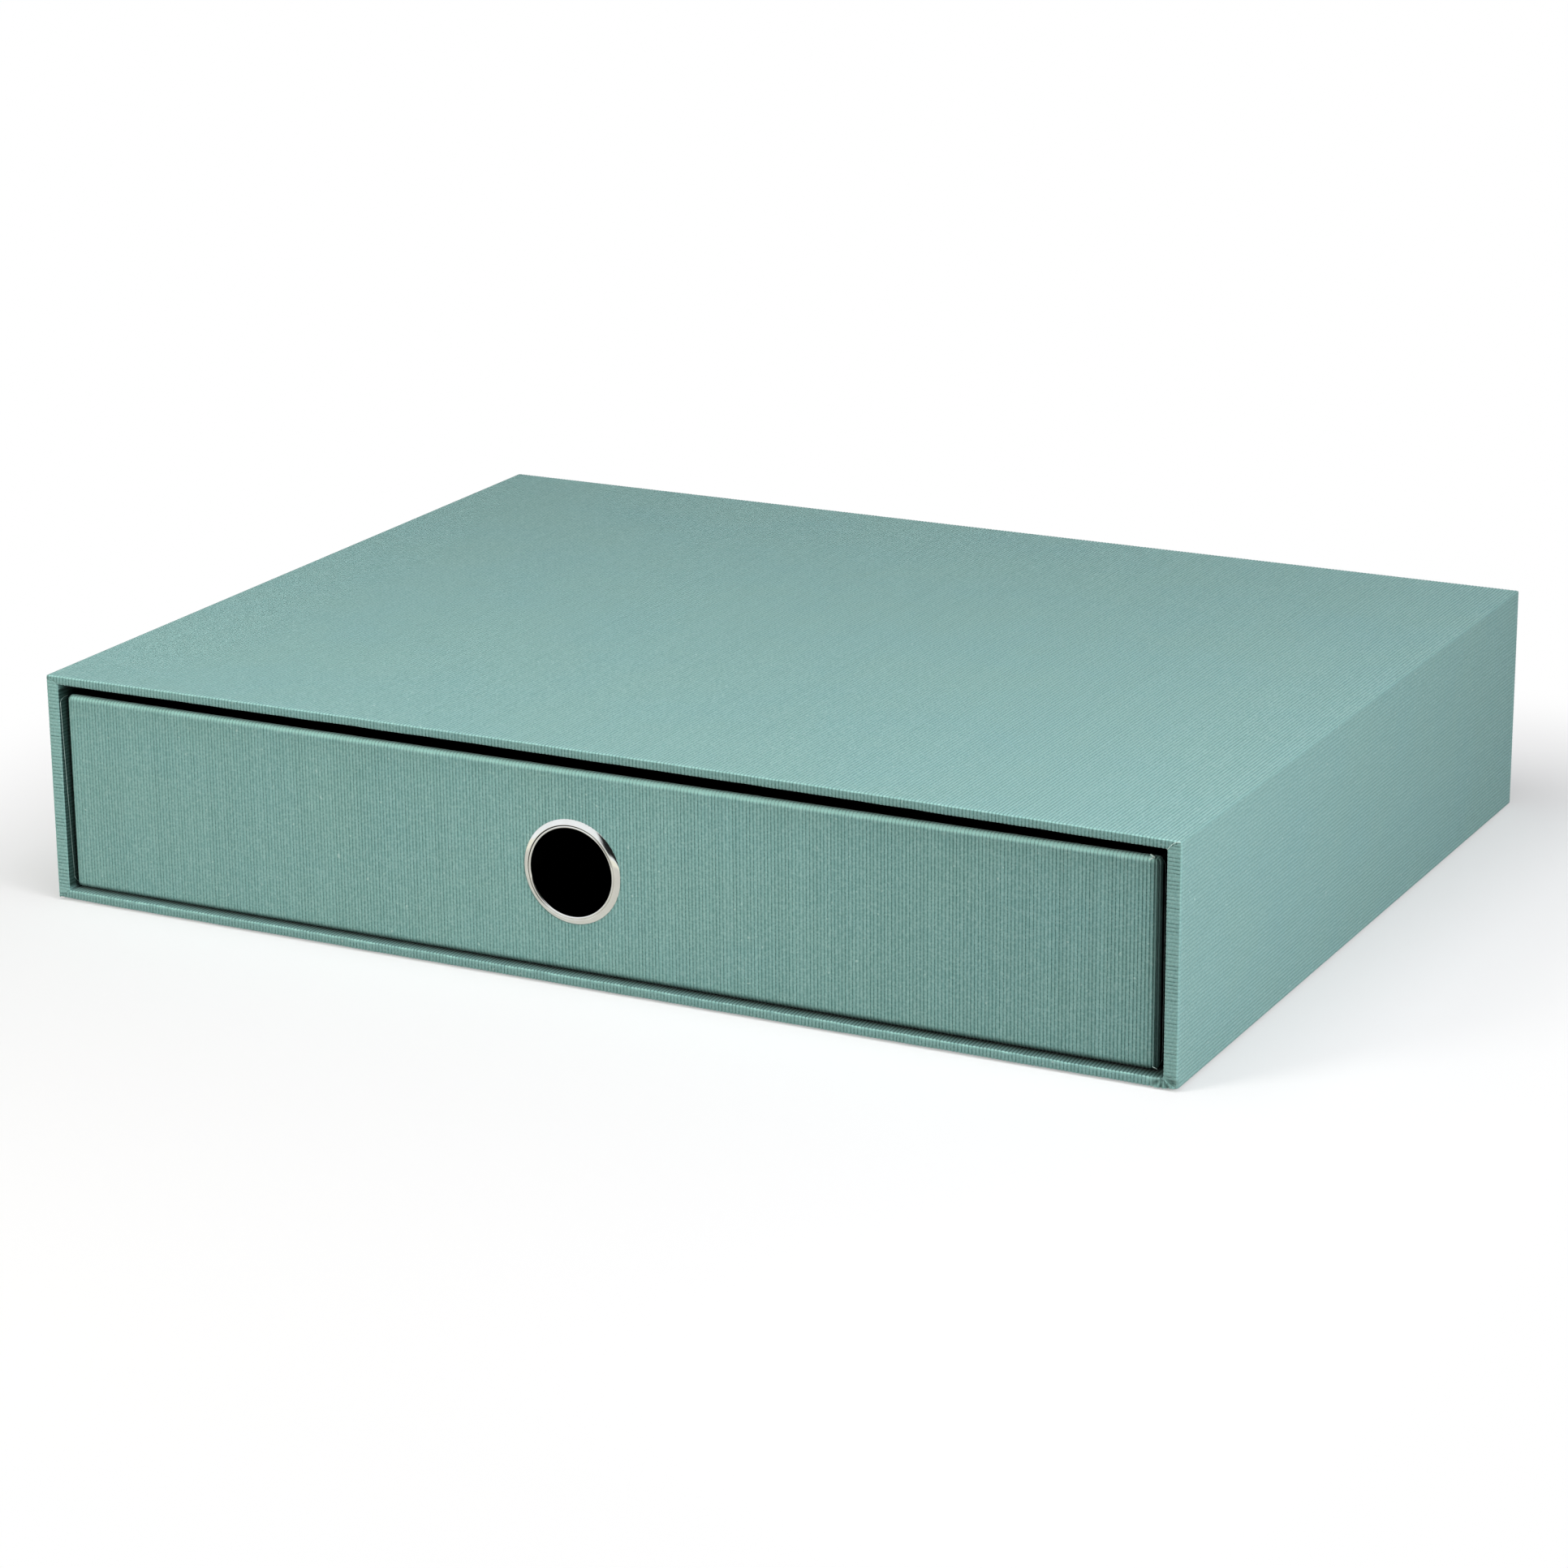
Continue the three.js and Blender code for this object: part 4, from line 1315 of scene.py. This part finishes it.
# Past the box and its open drawer the floor turns white over this length; a share is white at once
FADE_LENGTH = 0.12
WHITE_AT_ONCE = 0.4
DRAWER_TRAVEL = 200 * MM
VECTORS = "ShaderNodeVectorMath"

half_travel = BACKWARD * (DRAWER_TRAVEL / 2)
floor_finish, floor_shader = new_material("floor")
rays = node(floor_finish, "ShaderNodeLightPath")
floor_colour = mixed(floor_finish, rays.outputs["Is Camera Ray"], FLOOR_BOUNCE, FLOOR_SEEN)
floor_finish.node_tree.links.new(floor_colour, floor_shader.inputs["Base Color"])
floor_shader.inputs["Roughness"].default_value = 0.9
floor_shader.inputs["Specular IOR Level"].default_value = 0.0
floor_mesh.materials.append(floor_finish)

spot = node(floor_finish, "ShaderNodeTexCoord").outputs["Object"]
spot = maths(floor_finish, "ADD", spot, half_travel, kind=VECTORS)
spot = maths(floor_finish, "ABSOLUTE", spot, kind=VECTORS)
spot = maths(floor_finish, "SUBTRACT", spot, half_box + half_travel, kind=VECTORS)
spot = maths(floor_finish, "MAXIMUM", spot, (0, 0, 0), kind=VECTORS)
apart = maths(floor_finish, "LENGTH", spot, kind=VECTORS)
white_share = spread(floor_finish, apart, WHITE_AT_ONCE, 1, 0, FADE_LENGTH, "SMOOTHSTEP")
by_camera, by_gloss = rays.outputs["Is Camera Ray"], rays.outputs["Is Glossy Ray"]
white_share = maths(floor_finish, "MULTIPLY", white_share,
                    maths(floor_finish, "MAXIMUM", by_camera, by_gloss))
floor_glow = mixed(floor_finish, by_gloss, (1, 1, 1, 1), FLOOR_MIRRORED)
plain_white = node(floor_finish, "ShaderNodeEmission", Color=floor_glow, Strength=1.0).outputs[0]
faded = shader_mix(floor_finish, white_share, floor_shader.outputs[0], plain_white)
see_through = node(floor_finish, "ShaderNodeBsdfTransparent").outputs[0]
from_below = node(floor_finish, "ShaderNodeNewGeometry").outputs["Backfacing"]
surface = shader_mix(floor_finish, from_below, faded, see_through)
floor_output = floor_finish.node_tree.nodes["Material Output"]
floor_finish.node_tree.links.new(surface, floor_output.inputs["Surface"])
print("nodes in the floor's finish:", len(floor_finish.node_tree.nodes))

# %% [markdown]
# The lamps are soft boxes: two above the front edge, one on the right, two in front, and a small
# one low behind that lights the back. The gloss doesn't see them.

# %% Lamps


def area_light(name, place, aim, size, power, colour):
    """A square soft box that looks at a point."""
    data = bpy.data.lights.new(name, "AREA")
    data.color = colour
    data.size = size
    data.energy = power
    lamp = bpy.data.objects.new(name, data)
    lamp.location = place
    lamp.visible_glossy = False
    lamp.rotation_euler = (Vector(aim) - Vector(place)).to_track_quat("-Z", "Y").to_euler()
    bpy.context.scene.collection.objects.link(lamp)
    return lamp


AIM = (0, 0, 0.03)
COOL = (1.0, 1.0, 1.03)
WARM = (1.02, 1.0, 0.94)
# Each lamp: name, place, size, power, colour
LAMPS = (
    ("above_right", (0.35, -0.25, 0.74), 0.4, 1.25, COOL),
    ("above", (0, -0.22, 0.74), 0.4, 1.95, COOL),
    ("right", (0.7, -0.28, 0.34), 0.3, 3.15, COOL),
    ("front_left", (-0.4, -0.8, 0.5), 0.3, 4.9, WARM),
    ("front_low", (-0.2, -1.4, 0.3), 0.5, 1.3, WARM),
    ("behind", (0.1, 1.4, 0.035), 0.06, 3.0, COOL),
)
for name, place, size, power, colour in LAMPS:
    area_light(name, place, AIM, size, power, colour)
print("lamps:", [name for name, *_ in LAMPS])

# %% [markdown]
# Bright metal looks like what stands round it. So the sky that only the gloss sees is a studio of
# its own: white all round, with one dark gap to the right of the camera. The paper sees a sky that
# is dark, which keeps the gaps black, and glows only below the floor, so that the underside can be
# looked at too.

# %% A white backdrop, and a studio for the gloss
SKY_BELOW = 0.6
GLOSS_SKY = (0.93, 0.97, 1, 1)
BRIGHT_SIDE = 1.0
DARK_GAP = 0.015
# The way to the dark gap, how nearly a ray looks that way, and the heights of the gap's ends
GAP_WAY = (0.89, -0.45, 0)
GAP_SIDE = (0.42, 0.54)
GAP_TOP = (0.72, 0.79)
GAP_FOOT = (0.0, 0.06)
HORIZON = (-0.1, 0)

world = bpy.data.worlds.new("studio")
world.use_nodes = True
bpy.context.scene.world = world
tree = world.node_tree
backdrop = tree.nodes["Background"]
backdrop.inputs["Color"].default_value = (1, 1, 1, 1)
backdrop.inputs["Strength"].default_value = 1.0


class Studio:
    """Wraps the world's tree, so that the same node helper makes its nodes."""
    node_tree = tree


towards = node(Studio, "ShaderNodeTexCoord").outputs["Generated"]
height = node(Studio, "ShaderNodeSeparateXYZ", Vector=towards).outputs["Z"]
gap_way = maths(Studio, "DOT_PRODUCT", towards, GAP_WAY, kind=VECTORS)
gap = spread(Studio, gap_way, 0, 1, *GAP_SIDE, "SMOOTHSTEP")
gap = maths(Studio, "MULTIPLY", gap, spread(Studio, height, 1, 0, *GAP_TOP, "SMOOTHSTEP"))
gap = maths(Studio, "MULTIPLY", gap, spread(Studio, height, 0, 1, *GAP_FOOT, "SMOOTHSTEP"))
brightness = spread(Studio, gap, BRIGHT_SIDE, DARK_GAP)
gloss_sky = node(Studio, "ShaderNodeBackground", Color=GLOSS_SKY, Strength=brightness)
under_light = spread(Studio, height, SKY_BELOW, 0, *HORIZON, "SMOOTHSTEP")
dark_sky = node(Studio, "ShaderNodeBackground", Color=(1, 1, 1, 1), Strength=under_light)
path = node(Studio, "ShaderNodeLightPath")
unseen = shader_mix(Studio, path.outputs["Is Glossy Ray"], dark_sky.outputs[0], gloss_sky.outputs[0])
seen = shader_mix(Studio, path.outputs["Is Camera Ray"], unseen, backdrop.outputs[0])
tree.links.new(seen, tree.nodes["World Output"].inputs["Surface"])
bpy.context.scene.view_settings.view_transform = "Standard"
print("nodes in the studio's sky:", len(tree.nodes))
